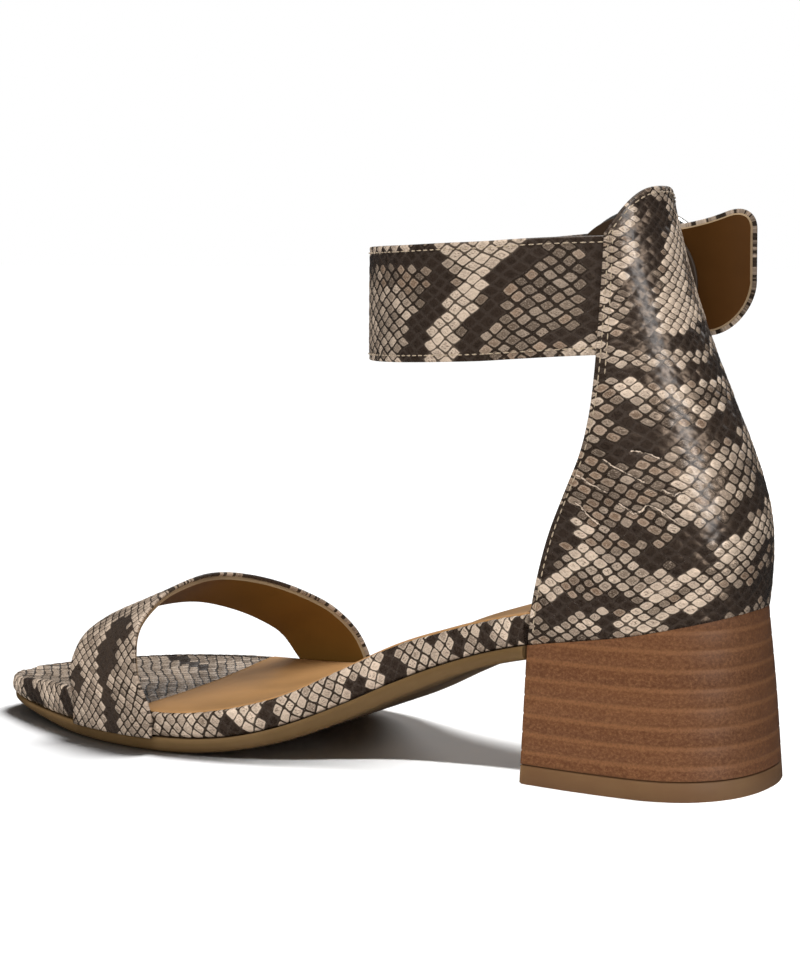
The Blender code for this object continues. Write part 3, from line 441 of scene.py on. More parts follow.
@dataclass(frozen=True)
class SnakePrint:
    """Embossed snake-print leather: pointed scales on a panel's flat map, with charted marks."""

    name: str
    chart: tuple = ()
    wide: float = 4.8
    tall: float = 3.5
    slant: float = 0.0
    crowd: float = 0.0
    crowd_from: float = 34.0
    crowd_over: float = 12.0
    fine: float = 0.0
    fine_from: float = 92.0
    fine_to: float = 110.0
    wrinkles: tuple = ()
    relief: float = 0.2
    dark_relief: float = 0.35
    corner_power: float = 8.0
    blunt: float = 1.06
    groove: tuple = (0.07, 0.03)
    pillow: float = 0.00025
    lean: float = 0.0005
    wander: float = 0.5
    cream: tuple = (0.55, 0.435, 0.335)
    taupe: tuple = (0.14, 0.103, 0.075)
    warm: tuple = (0.21, 0.128, 0.078)
    dark: tuple = (0.028, 0.0186, 0.0136)
    ink: tuple = (0.015, 0.0100, 0.0070)
    faint: tuple = (0.038, 0.0275, 0.0215)
    gloss: tuple = (1.0, 0.74, 0.54)
    ragged: float = 1.1
    unmap_rounds: int = 14

    def flat_map(self, flat: Array) -> Array:
        """Flat millimetres with the lattice's slant, crowding, finer top and slight wander added.

        Args:
            flat: Flat millimetres.

        Returns:
            Places on the printed map.
        """
        u, v = flat[..., 0] - self.slant * flat[..., 1], flat[..., 1]
        span = self.fine_to - self.fine_from
        t = np.clip((v - self.fine_from) / span, 0.0, 1.0)
        u = u * (1.0 + self.fine * fade(0.0, 1.0, t))
        v = v + self.fine * (span * (t**3 - 0.5 * t**4) + np.maximum(v - self.fine_to, 0.0))
        v = v - self.crowd * np.exp((self.crowd_from - v) / self.crowd_over)
        shift_u = np.sin(0.21 * v + 0.9) + 0.7 * np.sin(0.13 * u - 0.17 * v) + 0.4 * np.sin(0.8 * v + 0.4 * u)
        shift_v = np.sin(0.16 * u + 0.4) + 0.7 * np.sin(0.19 * v + 0.11 * u) + 0.4 * np.sin(0.7 * u - 0.5 * v)
        return np.stack([u + self.wander * shift_u, v + self.wander * shift_v], -1)

    def unmapped(self, place: Array) -> Array:
        """Flat millimetres that a place of the printed map comes from."""
        flat = place.copy()
        for _ in range(self.unmap_rounds):
            flat = flat + (place - self.flat_map(flat))
        return flat

    def turns(self, place: Array) -> tuple:
        """Both lattice counts of places on the printed map."""
        across, up = place[..., 0] / self.wide, place[..., 1] / self.tall
        return across + up, across - up

    def height(self, place: Array) -> Array:
        """Height of the embossed scales in millimetres, lower on dark ones.

        Args:
            place: Places on the printed map.

        Returns:
            One height for each place.
        """
        first, second = self.turns(place)
        i, j = np.floor(first), np.floor(second)
        a, b, power = first - i, second - j, self.corner_power
        sizes = np.abs(2.0 * a - 1.0), np.abs(2.0 * b - 1.0), self.blunt * np.abs(a - b)
        out = sum(size**power for size in sizes)
        edge = 0.5 * (1.0 - out ** (1.0 / power))
        share = self.dark_relief + (1.0 - self.dark_relief) * self.tones(i, j)
        return self.relief * share * (fade(-0.06, 0.26, edge) * 0.8 + 0.5 * edge)

    def tones(self, i: Array, j: Array) -> Array:
        """Tone of the scales with these lattice numbers, read from the chart at each scale's middle.

        Args:
            i: First lattice numbers.
            j: Second lattice numbers.

        Returns:
            A Tone's value for each scale.
        """
        scales, back = np.unique(np.stack([i.ravel(), j.ravel()], 1), axis=0, return_inverse=True)
        across, up = scales.sum(1) + 1.0, scales[:, 0] - scales[:, 1]
        middle = self.unmapped(np.stack([0.5 * self.wide * across, 0.5 * self.tall * up], 1))
        tone = np.full(len(scales), Tone.TAUPE.value)
        ragged = self.ragged * (hashed(*scales.T, 3.0) - 0.5)
        for mark, radius, *way in self.chart:
            stops = np.array(way, float).reshape(-1, 2)
            for start, end in zip(stops[:-1], stops[1:]):
                along = end - start
                share = np.clip((middle - start) @ along / (along @ along), 0.0, 1.0)
                away = np.linalg.norm(middle - start - share[:, None] * along, axis=1)
                tone = np.where(away + ragged < radius, MARKS[mark].value, tone)
        return tone[back.reshape(-1)].reshape(i.shape)

    def scale_edge(self, shader: Shader, parts: Sequence) -> Socket:
        """How far a place is inside its scale's outline, up to 0.5, from its place in the lattice cell.

        Args:
            shader: The material's shader.
            parts: Both parts of a lattice step.

        Returns:
            The distance, 0.5 in the middle.
        """
        sizes = [shader.math("ABSOLUTE", shader.line(part, 2.0, -1.0)) for part in parts]
        sizes.append(shader.times(shader.math("ABSOLUTE", shader.minus(*parts)), self.blunt))
        first, second, third = (shader.math("POWER", size, self.corner_power) for size in sizes)
        out = shader.math("POWER", shader.plus(shader.plus(first, second), third), 1.0 / self.corner_power)
        return shader.line(out, -0.5, 0.5)

    def wrinkle_distance(self, shader: Shader, flat: Socket) -> Socket:
        """Distance in millimetres from the nearest wrinkle, with a slight wobble.

        Args:
            shader: The material's shader.
            flat: Place on the printed map.

        Returns:
            The distance.
        """
        grain = shader.node("ShaderNodeTexNoise", {"Vector": flat, "Scale": 0.9})
        u, v, _ = shader.apart(shader.vector("ADD", flat, grain.outputs["Color"]))
        place, nearest = shader.together(u, v), None
        for way in self.wrinkles:
            stops = self.flat_map(np.array(way, float).reshape(-1, 2)) + 0.5
            for start, end in zip(stops[:-1], stops[1:]):
                along = end - start
                pull = along / (along @ along)
                offset = shader.vector("SUBTRACT", place, (*start, 0.0))
                reach = shader.vector("DOT_PRODUCT", offset, (*pull, 0.0))
                share = shader.node("ShaderNodeClamp", {"Value": reach}).outputs[0]
                foot = shader.vector("MULTIPLY_ADD", (*along, 0.0), share, (*start, 0.0))
                away = shader.vector("DISTANCE", place, foot)
                nearest = away if nearest is None else shader.math("MINIMUM", nearest, away)
        return nearest

    def material(self) -> Material:
        """The leather's material, which reads the flat map and the tones of each face's scales."""
        shader = Shader(self.name)
        step, times, mix, noise = shader.step, shader.times, shader.mix, shader.noise
        flat = shader.node("ShaderNodeUVMap", uv_map=PRINT_UV).outputs["UV"]
        own, beside, below = shader.attribute(TONES)
        both, *stored = shader.attribute(CELL)
        # lattice: each place's scale, its part of the scale and the scale's tone
        u, v, _ = shader.apart(flat)
        across, up = shader.math("DIVIDE", u, self.wide), shader.math("DIVIDE", v, self.tall)
        turns = shader.plus(across, up), shader.minus(across, up)
        cells = [shader.math("FLOOR", turn) for turn in turns]
        parts = [shader.math("FRACT", turn) for turn in turns]
        edge = self.scale_edge(shader, parts)
        off_i, off_j = (
            shader.math("GREATER_THAN", shader.math("ABSOLUTE", shader.minus(cell, kept)), 0.5)
            for cell, kept in zip(cells, stored)
        )
        tone = shader.blend(off_j, shader.blend(off_i, own, beside), shader.blend(off_i, below, both))
        number = {"Vector": shader.together(*cells, 0.5)}
        chance = shader.node("ShaderNodeTexWhiteNoise", number, noise_dimensions="3D")
        pick_1, pick_2, pick_3 = shader.apart(chance.outputs["Color"])
        fleck = noise(flat, 1.0, 4.0, 0.65)
        edge_in = shader.plus(edge, shader.line(noise(flat, 1.3, 3.0, 0.6), 0.14, -0.07))
        # base colour, some of the taupe scales browner, all with hairlines and brushed ink, with painted
        # glints and a painted highlight round the scale rims
        lightness = shader.plus(tone, shader.line(pick_1, 0.4, -0.18))
        lightness = shader.plus(lightness, shader.line(noise(flat, 0.07), 0.3, -0.15))
        stops = ((0.0, self.dark), (0.24, self.dark), (0.5, self.taupe), (1.0, self.cream))
        colour = shader.ramp(lightness, stops)
        browned = times(step(pick_3, 0.5, 0.9, (0.0, 0.6)), step(tone, 0.2, 0.5))
        colour = mix(times(browned, step(tone, 0.5, 0.8, (1.0, 0.0))), colour, self.warm)
        hair = noise(shader.together(times(u, 0.6), times(v, 2.4)), 1.0, 4.0, 0.7)
        colour = mix(step(hair, 0.44, 0.66, (0.0, 0.55)), colour, mix(0.5, self.ink, colour))
        brushed = shader.together(shader.line(v, 0.7, u), shader.line(u, -0.9, times(v, 2.2)))
        spot = times(step(edge_in, 0.08, 0.3), step(pick_2, 0.0, 0.8, (0.15, 1.0)))
        speckle = times(step(noise(brushed, 1.0, 4.0, 0.7), 0.47, 0.6), spot)
        colour = mix(speckle, colour, mix(tone, self.ink, self.taupe))
        # colour of the painted highlights on the print
        highlight_cream = scaled(self.cream, 1.2)
        # painted glints: small bright flecks on the lighter scales
        glint = times(step(noise(brushed, 1.7, 3.0, 0.65), 0.52, 0.66, (0.0, 0.8)), tone)
        colour = mix(glint, colour, highlight_cream)
        # painted highlight round the rim of each lighter scale
        pale_tone_and_highlight = times(step(edge_in, 0.1, 0.3, (0.45, 0.0)), times(tone, pick_3))
        colour = mix(pale_tone_and_highlight, colour, highlight_cream)
        # inked grooves between the scales
        reach = shader.line(pick_2, 0.07, step(tone, 0.5, 1.0, self.groove))
        groove = step(shader.minus(edge_in, reach), -0.035, 0.045, (1.0, 0.0))
        stops = ((0.0, self.faint), (0.4, self.ink), (0.75, self.ink), (1.0, scaled(self.taupe, 0.4)))
        colour = mix(times(groove, 0.96), colour, shader.ramp(tone, stops))
        # relief: each scale leans its own way, is raised in its middle and has a grain
        leans = [times(part, shader.minus(pick, 0.5)) for part, pick in zip(parts, (pick_1, pick_3))]
        shader.bump(shader.plus(*leans), self.lean)
        low = shader.line(tone, 1.0 - self.dark_relief, self.dark_relief)
        shader.bump(times(step(edge, -0.05, 0.4), low), self.pillow, 0.8)
        shader.bump(noise(flat, 2.2, 3.0, 0.6), 0.00008, 0.5)
        if self.wrinkles:
            away = self.wrinkle_distance(shader, flat)
            # painted shade darkens the flanks of each wrinkle
            colour = mix(step(away, 0.15, 0.7, (0.6, 0.0)), colour, self.ink)
            # painted highlight along each wrinkle's crest, broken up by the flecks
            crease_highlight = times(step(away, 0.1, 0.26, (1.0, 0.0)), step(fleck, 0.36, 0.56))
            colour = mix(crease_highlight, colour, highlight_cream)
            shader.bump(step(away, 0.0, 0.8), 0.0003, 0.8)
        shader.set(Base_Color=colour, Roughness=step(fleck, 0.3, 0.8, (0.22, 0.4)))
        shader.set(Specular_IOR_Level=0.22, Specular_Tint=self.gloss, Coat_Weight=0.16, Coat_Roughness=0.2)
        return shader.material


@dataclass(frozen=True)
class SmoothLeather:
    """Plain smooth leather: sock, linings and cut edges."""

    name: str
    colour: tuple
    rough: float = 0.5
    pores: float = 0.00003
    shade: float = 0.12

    def material(self) -> Material:
        """The leather's material, with clouded colour and fine pores."""
        shader = Shader(self.name)
        place = shader.object_place()
        cloud = shader.noise(place, 38.0, 3.0, 0.55)
        fine = shader.noise(place, 900.0, 3.0, 0.6)
        deep, light = scaled(self.colour, 1.0 - 2.0 * self.shade), scaled(self.colour, 1.0 + self.shade)
        colour = shader.ramp(cloud, ((0.25, deep), (0.55, self.colour), (0.8, light)))
        colour = shader.mix(shader.step(fine, 0.58, 0.75, (0.0, 0.25)), colour, deep)
        rough = shader.step(cloud, 0.3, 0.7, (self.rough - 0.05, self.rough + 0.07))
        shader.set(Base_Color=colour, Roughness=rough, Specular_IOR_Level=0.12)
        shader.bump(fine, self.pores, 0.5)
        return shader.material


@dataclass(frozen=True)
class SoleRubber:
    """Moulded sole: satin rubber with a faint moulding grain, paler mottling and a painted highlight on its
    sharp edges.
    """

    name: str
    colour: tuple
    rough: float = 0.55
    # pale colour for the random mottling and for the painted highlight on the sharp edges
    pale_tone_and_highlight: tuple = (0.17, 0.105, 0.047)

    def material(self) -> Material:
        """The rubber's material."""
        shader = Shader(self.name)
        place = shader.object_place()
        cloud = shader.noise(place, 55.0, 4.0, 0.6)
        grain = shader.noise(place, 1400.0, 2.0, 0.5)
        colour = shader.mix(shader.step(cloud, 0.35, 0.75, (0.0, 0.35)), self.colour, self.pale_tone_and_highlight)
        # painted highlight: the sharp edges are paled where they would catch the light
        sharp = shader.node("ShaderNodeNewGeometry").outputs["Pointiness"]
        colour = shader.mix(shader.step(sharp, 0.52, 0.6, (0.0, 0.5)), colour, self.pale_tone_and_highlight)
        rough = shader.step(cloud, 0.3, 0.7, (self.rough - 0.06, self.rough + 0.1))
        shader.set(Base_Color=colour, Roughness=rough, Specular_IOR_Level=0.12)
        shader.bump(grain, 0.00003, 0.5)
        return shader.material


@dataclass(frozen=True)
class StackedLeather:
    """Heel of pressed leather layers with lighter lines between them."""

    name: str
    first_line: float
    layer: float
    colour: tuple = (0.112, 0.0455, 0.0192)
    light: tuple = (0.215, 0.096, 0.040)
    deep: tuple = (0.061, 0.022, 0.0081)

    def material(self) -> Material:
        """The stack's material, layered by height."""
        shader = Shader(self.name)
        step, mix = shader.step, shader.mix
        _, _, z = shader.apart(shader.object_place())
        streak = shader.noise(shader.object_place((1150.0, 1150.0, 1500.0)), 1.0, 5.0, 0.75)
        fleck = shader.noise(shader.object_place((1900.0, 1900.0, 2300.0)), 1.0, 3.0, 0.7)
        wave = shader.noise(shader.object_place((26.0, 26.0, 4.0)), 1.0)
        height = shader.line(wave, 0.0006, z)
        turn = shader.math("DIVIDE", shader.minus(height, self.first_line * MM), self.layer * MM)
        away = shader.math("ABSOLUTE", shader.minus(shader.math("FRACT", shader.plus(turn, 0.5)), 0.5))
        number = {"W": shader.math("FLOOR", turn)}
        chance = shader.node("ShaderNodeTexWhiteNoise", number, noise_dimensions="1D")
        colour = shader.ramp(streak, ((0.28, self.deep), (0.5, self.colour), (0.78, self.light)))
        colour = mix(shader.times(chance.outputs["Value"], 0.12), colour, self.light)
        colour = mix(step(fleck, 0.55, 0.72, (0.0, 0.5)), colour, self.deep)
        line = shader.times(step(away, 0.05, 0.22, (0.6, 0.0)), step(fleck, 0.3, 0.6, (1.0, 0.5)))
        colour = mix(line, colour, self.light)
        shade = step(away, 0.1, 0.24, (0.35, 0.0))
        colour = mix(shader.minus(shade, line), colour, self.deep)
        rough = step(streak, 0.3, 0.7, (0.46, 0.58))
        shader.set(Base_Color=colour, Roughness=rough, Specular_IOR_Level=0.1)
        shader.bump(streak, 0.00008, 0.5)
        shader.bump(line, 0.0001, 0.4)
        return shader.material


@dataclass(frozen=True)
class PolishedMetal:
    """Polished buckle metal with hairline wear."""

    name: str
    colour: tuple = (0.74, 0.73, 0.71)
    rough: float = 0.16

    def material(self) -> Material:
        """The metal's material."""
        shader = Shader(self.name)
        wear = shader.noise(shader.object_place((300.0, 300.0, 1200.0)), 1.0, 3.0, 0.6)
        colour = shader.mix(shader.step(wear, 0.45, 0.8), self.colour, scaled(self.colour, 0.82))
        rough = shader.step(wear, 0.35, 0.75, (self.rough, self.rough + 0.14))
        shader.set(Base_Color=colour, Metallic=1.0, Roughness=rough)
        shader.bump(wear, 0.00001, 0.3)
        return shader.material


@dataclass(frozen=True)
class Thread:
    """Twisted sewing thread."""

    name: str
    colour: tuple = (0.42, 0.32, 0.21)

    def material(self) -> Material:
        """The thread's material, with its twist."""
        shader = Shader(self.name)
        place = shader.object_place()
        x, y, z = shader.apart(place)
        twist = shader.math("SINE", shader.times(shader.plus(shader.plus(x, y), z), 9000.0))
        fuzz = shader.noise(place, 2500.0)
        shade = shader.line(twist, 0.25, shader.times(fuzz, 0.6))
        colour = shader.mix(shade, self.colour, scaled(self.colour, 0.55))
        shader.set(Base_Color=colour, Roughness=0.7, Sheen_Weight=0.2)
        shader.bump(twist, 0.00005, 0.6)
        return shader.material


@dataclass(frozen=True)
class FloorPaint:
    """Matte pale studio floor."""

    name: str
    colour: tuple = (0.94, 0.94, 0.94)

    def material(self) -> Material:
        """The floor's material."""
        shader = Shader(self.name)
        cloud = shader.noise(shader.object_place(), 0.4, 1.0)
        colour = shader.mix(cloud, self.colour, scaled(self.colour, 1.01))
        shader.set(Base_Color=colour, Roughness=0.9, Specular_IOR_Level=0.1)
        return shader.material


class Face(Enum):
    """Material places on a leather panel."""

    OUTER = 0
    RIM = 1
    INNER = 2


# Rim of a lined sheet, from the outer side to the lining: millimetres out of the sheet, share of the
# wall's depth. The lining's own cut edge stands back from the turned edge of the print, which takes the
# first strips of the rim.
LINED_RIM = ((0.25, 0.08), (0.4, 0.26), (0.28, 0.44), (-0.05, 0.5), (-0.5, 0.52), (-0.6, 0.8))
LINED_PRINT = 5
LINED_INSET = 0.8
PLAIN_RIM = ((0.15, 0.15), (0.22, 0.5), (0.15, 0.85))


@dataclass
class Panel:
    """A bent sheet of leather given by a grid of points on its outer side.

    Grid rows run across the sheet and columns along it. The flat map is in millimetres.
    """

    name: str
    outer: Array
    flat: Array
    wall: float
    outward: int = 1
    lined: bool = True
    inset: float = LINED_INSET
    drawn: float = 6.0
    hem: tuple = (0.6, 2.6)
    hem_relief: float = 0.3
    dents: Sequence = ()

    def normals(self, grid: Array) -> Array:
        """Outward directions at a grid's points."""
        return -self.outward * grid_normals(grid)

    def border(self) -> Array:
        """Grid positions of the border's points, once round."""
        rows, columns = self.outer.shape[:2]
        index = np.arange(rows * columns).reshape(rows, columns)
        return np.r_[index[0, :-1], index[:-1, -1], index[-1, :0:-1], index[:0:-1, 0]]

    def edge_directions(self) -> Array:
        """Directions that point out of the sheet at its border, in the sheet's own surface."""
        border = self.border()
        loop = self.outer.reshape(-1, 3)[border]
        along = np.roll(loop, -1, axis=0) - np.roll(loop, 1, axis=0)
        out = unit(np.cross(along, self.normals(self.outer).reshape(-1, 3)[border]))
        middle = self.outer.shape[1] // 2
        return out * np.sign(out[middle] @ (self.outer[0, middle] - self.outer[1, middle]))

    def near_border(self) -> tuple:
        """The number of each grid point's nearest border point, and how far it is."""
        points, border = self.outer.reshape(-1, 3), self.border()
        tree = KDTree(len(border))
        for number, point in enumerate(points[border]):
            tree.insert(point, number)
        tree.balance()
        near, away = zip(*(tree.find(point)[1:] for point in points))
        return np.array(near), np.array(away)

    def lining_grid(self, near: Array, away: Array) -> Array:
        """The inner side, drawn in from the border when the sheet is lined.

        Args:
            near: Number of each point's nearest border point.
            away: Distance to it.

        Returns:
            Points by row and column.
        """
        points = self.outer.reshape(-1, 3)
        if self.lined:
            drawn = self.inset * np.maximum(1.0 - away / self.drawn, 0.0)
            points = points - self.edge_directions()[near] * drawn[:, None]
        return points.reshape(self.outer.shape) - self.normals(self.outer) * self.wall

    def mesh(self, print_finish: SnakePrint | None, materials: Sequence[Material]) -> Thing:
        """Build the closed sheet.

        Args:
            print_finish: The embossed print of the outer side, or None for smooth leather.
            materials: Materials of the outer side, the rim and the inner side.

        Returns:
            The finished object.
        """
        normals = self.normals(self.outer)
        flat = self.flat if print_finish is None else print_finish.flat_map(self.flat)
        near, away = self.near_border()
        raised = np.zeros(self.outer.shape[:2])
        if print_finish is not None:
            pressed = fade(*self.hem, away.reshape(raised.shape))
            raised = print_finish.height(flat) * (self.hem_relief + (1.0 - self.hem_relief) * pressed)
        for dent in self.dents:
            raised = raised + dent(self.flat)
        outer = (self.outer + normals * raised[..., None]).reshape(-1, 3)
        inner = self.lining_grid(near, away).reshape(-1, 3)
        border = self.border()
        out, deep = self.edge_directions(), normals.reshape(-1, 3)[border] * self.wall
        rings = []
        for reach, share in LINED_RIM if self.lined else PLAIN_RIM:
            reach *= 1.0 if reach > 0.0 else self.inset / LINED_INSET
            rings.append(outer[border] + out * reach - deep * share)
        points = np.concatenate([outer, inner, *rings])
        faces, kinds = self.faces(len(outer), border, len(rings))
        thing = make_object(self.name, points, faces.tolist(), materials, kinds)
        if print_finish is not None:
            flat = flat.reshape(-1, 2)
            flat = np.concatenate([flat, flat] + [flat[border]] * len(rings))
            store_print(thing.data, flat[corner_numbers(thing.data)[0]], print_finish)
        return thing

    def dressed(self, finish: SnakePrint, lining: SmoothLeather, edge: SmoothLeather) -> Thing:
        """The closed sheet with the print outside, the lining inside and a cut edge between."""
        return self.mesh(finish, (finish.material(), edge.material(), lining.material()))

    def faces(self, count: int, border: Array, rings: int) -> tuple:
        """Faces of the closed sheet.

        Args:
            count: Points on one side.
            border: Border positions.
            rings: Rings of points round the rim.

        Returns:
            The faces and each face's material place.
        """
        rows, columns = self.outer.shape[:2]
        index = np.arange(rows * columns).reshape(rows, columns)
        quad = np.stack([index[:-1, :-1], index[:-1, 1:], index[1:, 1:], index[1:, :-1]], -1).reshape(-1, 4)
        size = len(border)
        between = [2 * count + size * ring + np.arange(size) for ring in range(rings)]
        loops = [border, *between, border + count]
        strips = [
            np.stack([first, second, np.roll(second, -1), np.roll(first, -1)], -1)
            for first, second in zip(loops[:-1], loops[1:])
        ]
        rim = np.concatenate(strips)
        rim_kinds = np.where(np.arange(len(rim)) < LINED_PRINT * size, Face.OUTER.value, Face.RIM.value)
        if self.outward < 0:
            quad, rim = quad[:, ::-1], rim[:, ::-1]
        faces = np.concatenate([quad, quad[:, ::-1] + count, rim])
        kinds = np.r_[np.full(len(quad), Face.OUTER.value), np.full(len(quad), Face.INNER.value), rim_kinds]
        return faces, kinds


def corner_numbers(mesh: Mesh) -> tuple:
    """The vertex and the face of each face corner."""
    corners = np.zeros(len(mesh.loops), np.int32)
    mesh.loops.foreach_get("vertex_index", corners)
    totals = np.zeros(len(mesh.polygons), np.int32)
    mesh.polygons.foreach_get("loop_total", totals)
    return corners, np.repeat(np.arange(len(totals)), totals)


def store_print(mesh: Mesh, flat: Array, print_finish: SnakePrint) -> None:
    """Store a flat map per face corner, and per face its scale's place and the tones on and beside it.

    Args:
        mesh: The mesh that gets them.
        flat: Flat millimetres of each face corner.
        print_finish: The print whose chart gives the tones.
    """
    layer = mesh.uv_layers.new(name=PRINT_UV)
    layer.data.foreach_set("uv", flat.astype(np.float32).ravel())
    _, faces = corner_numbers(mesh)
    count = np.bincount(faces)
    middle = np.stack([np.bincount(faces, flat[:, axis]) / count for axis in (0, 1)], -1)
    first, second = print_finish.turns(middle)
    i, j = np.floor(first), np.floor(second)
    next_i = np.where(first - i > 0.5, i + 1.0, i - 1.0)
    next_j = np.where(second - j > 0.5, j + 1.0, j - 1.0)
    scales = (i, j), (next_i, j), (i, next_j), (next_i, next_j)
    own, beside, below, both = (print_finish.tones(*scale) for scale in scales)
    for name, columns in ((TONES, (own, beside, below)), (CELL, (both, i, j))):
        layer = mesh.attributes.new(name, "FLOAT_VECTOR", "FACE")
        layer.data.foreach_set("vector", np.stack(columns, -1).astype(np.float32).ravel())


def add_object(name: str, data: bpy.types.ID) -> Thing:
    """An object in the scene that holds a mesh, a light or a camera."""
    thing = bpy.data.objects.new(name, data)
    bpy.context.scene.collection.objects.link(thing)
    return thing


def bake(thing: Thing) -> None:
    """Make what a piece's modifiers give its own plain mesh."""
    bpy.context.view_layer.update()
    made = bpy.data.meshes.new_from_object(thing.evaluated_get(bpy.context.evaluated_depsgraph_get()))
    thing.modifiers.clear()
    thing.data = made


def turn_outward(mesh: Mesh) -> None:
    """Point every face of a closed mesh outwards."""
    shape = bmesh.new()
    shape.from_mesh(mesh)
    bmesh.ops.recalc_face_normals(shape, faces=shape.faces)
    shape.to_mesh(mesh)
    shape.free()


def make_object(
    name: str,
    points: Array,
    faces: Sequence,
    materials: Sequence[Material],
    kinds: Array | None = None,
    sharp: float = 50.0,
) -> Thing:
    """A smooth-shaded object in part metres from table millimetres.

    Args:
        name: The piece's name.
        points: Table millimetres.
        faces: Corner numbers of each face.
        materials: The piece's materials.
        kinds: Material place of each face, or None for the first.
        sharp: Angle in degrees above which an edge stays sharp.

    Returns:
        The linked object.
    """
    mesh = bpy.data.meshes.new(name)
    mesh.from_pydata(to_part(points).tolist(), [], faces)
    for material in materials:
        mesh.materials.append(material)
    if kinds is not None:
        mesh.polygons.foreach_set("material_index", np.asarray(kinds, np.int32))
    mesh.shade_smooth()
    mesh.set_sharp_from_angle(angle=math.radians(sharp))
    return add_object(name, mesh)


def loft(name: str, rings: Rows, materials: Sequence[Material] = (), sharp: float = 50.0) -> Thing:
    """A closed solid through rings of equal point count.

    Args:
        name: The piece's name.
        rings: Rings by points by three.
        materials: The piece's materials.
        sharp: Angle in degrees above which an edge stays sharp.

    Returns:
        The linked object, with its faces outward.
    """
    rings = np.asarray(rings, float)
    count, around = rings.shape[:2]
    index = np.arange(count * around).reshape(count, around)
    after = np.roll(index, -1, axis=1)
    quads = np.stack([index[:-1], after[:-1], after[1:], index[1:]], -1).reshape(-1, 4)
    faces = [*quads.tolist(), index[0, ::-1].tolist(), index[-1].tolist()]
    thing = make_object(name, rings.reshape(-1, 3), faces, materials, sharp=sharp)
    turn_outward(thing.data)
    thing.data.set_sharp_from_angle(angle=math.radians(sharp))
    return thing


def cut_or_join(thing: Thing, other: Thing, operation: str) -> None:
    """Cut another closed shape out of a piece, or join it, and remove that shape.

    Args:
        thing: The piece.
        other: The shape.
        operation: DIFFERENCE or UNION.
    """
    step = thing.modifiers.new("cut", "BOOLEAN")
    step.operation = operation
    step.object = other
    step.solver = "EXACT"
    bake(thing)
    bpy.data.objects.remove(other, do_unlink=True)


def settle(thing: Thing, slot: str, *nodes: str) -> Thing:
    """Let a piece ride on the part and hide the solids that it stands for.

    Args:
        thing: The piece.
        slot: The record's material slot; not used.
        nodes: Solids that it replaces.

    Returns:
        The same piece.
    """
    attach(thing, "root")
    if nodes:
        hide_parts(*nodes)
    LOG.info("%s: %d faces", thing.name, len(thing.data.polygons))
    return thing


@dataclass
class Crease:
    """A soft trough pressed across a panel, from one flat place to another."""

    u0: float
    v0: float
    u1: float
    v1: float
    depth: float
    half_width: float
    ridge: float = 1.3

    def __call__(self, flat: Array) -> Array:
        """Change of height at each flat place, with a low ridge beside the trough.

        Args:
            flat: Flat millimetres.

        Returns:
            One height for each place.
        """
        along = np.array((self.u1 - self.u0, self.v1 - self.v0))
        offset = flat - np.array((self.u0, self.v0))
        share = np.clip((offset @ along) / (along @ along), 0.0, 1.0)
        away = np.linalg.norm(offset - share[..., None] * along, axis=-1) / self.half_width
        ends = fade(0.0, 0.25, share) * fade(0.0, 0.25, 1.0 - share)
        return self.depth * ends * (self.ridge * away**2 - 1.0) * np.exp(-(away**2))


@dataclass
class SeamTrough:
    """A shallow trough along both edges of a strap, where its stitches pull."""

    away: float
    depth: float = 0.12
    half_width: float = 0.45

    def __call__(self, flat: Array) -> Array:
        """Change of height at each flat place."""
        return -self.depth * np.exp(-(((np.abs(flat[..., 1]) - self.away) / self.half_width) ** 2))


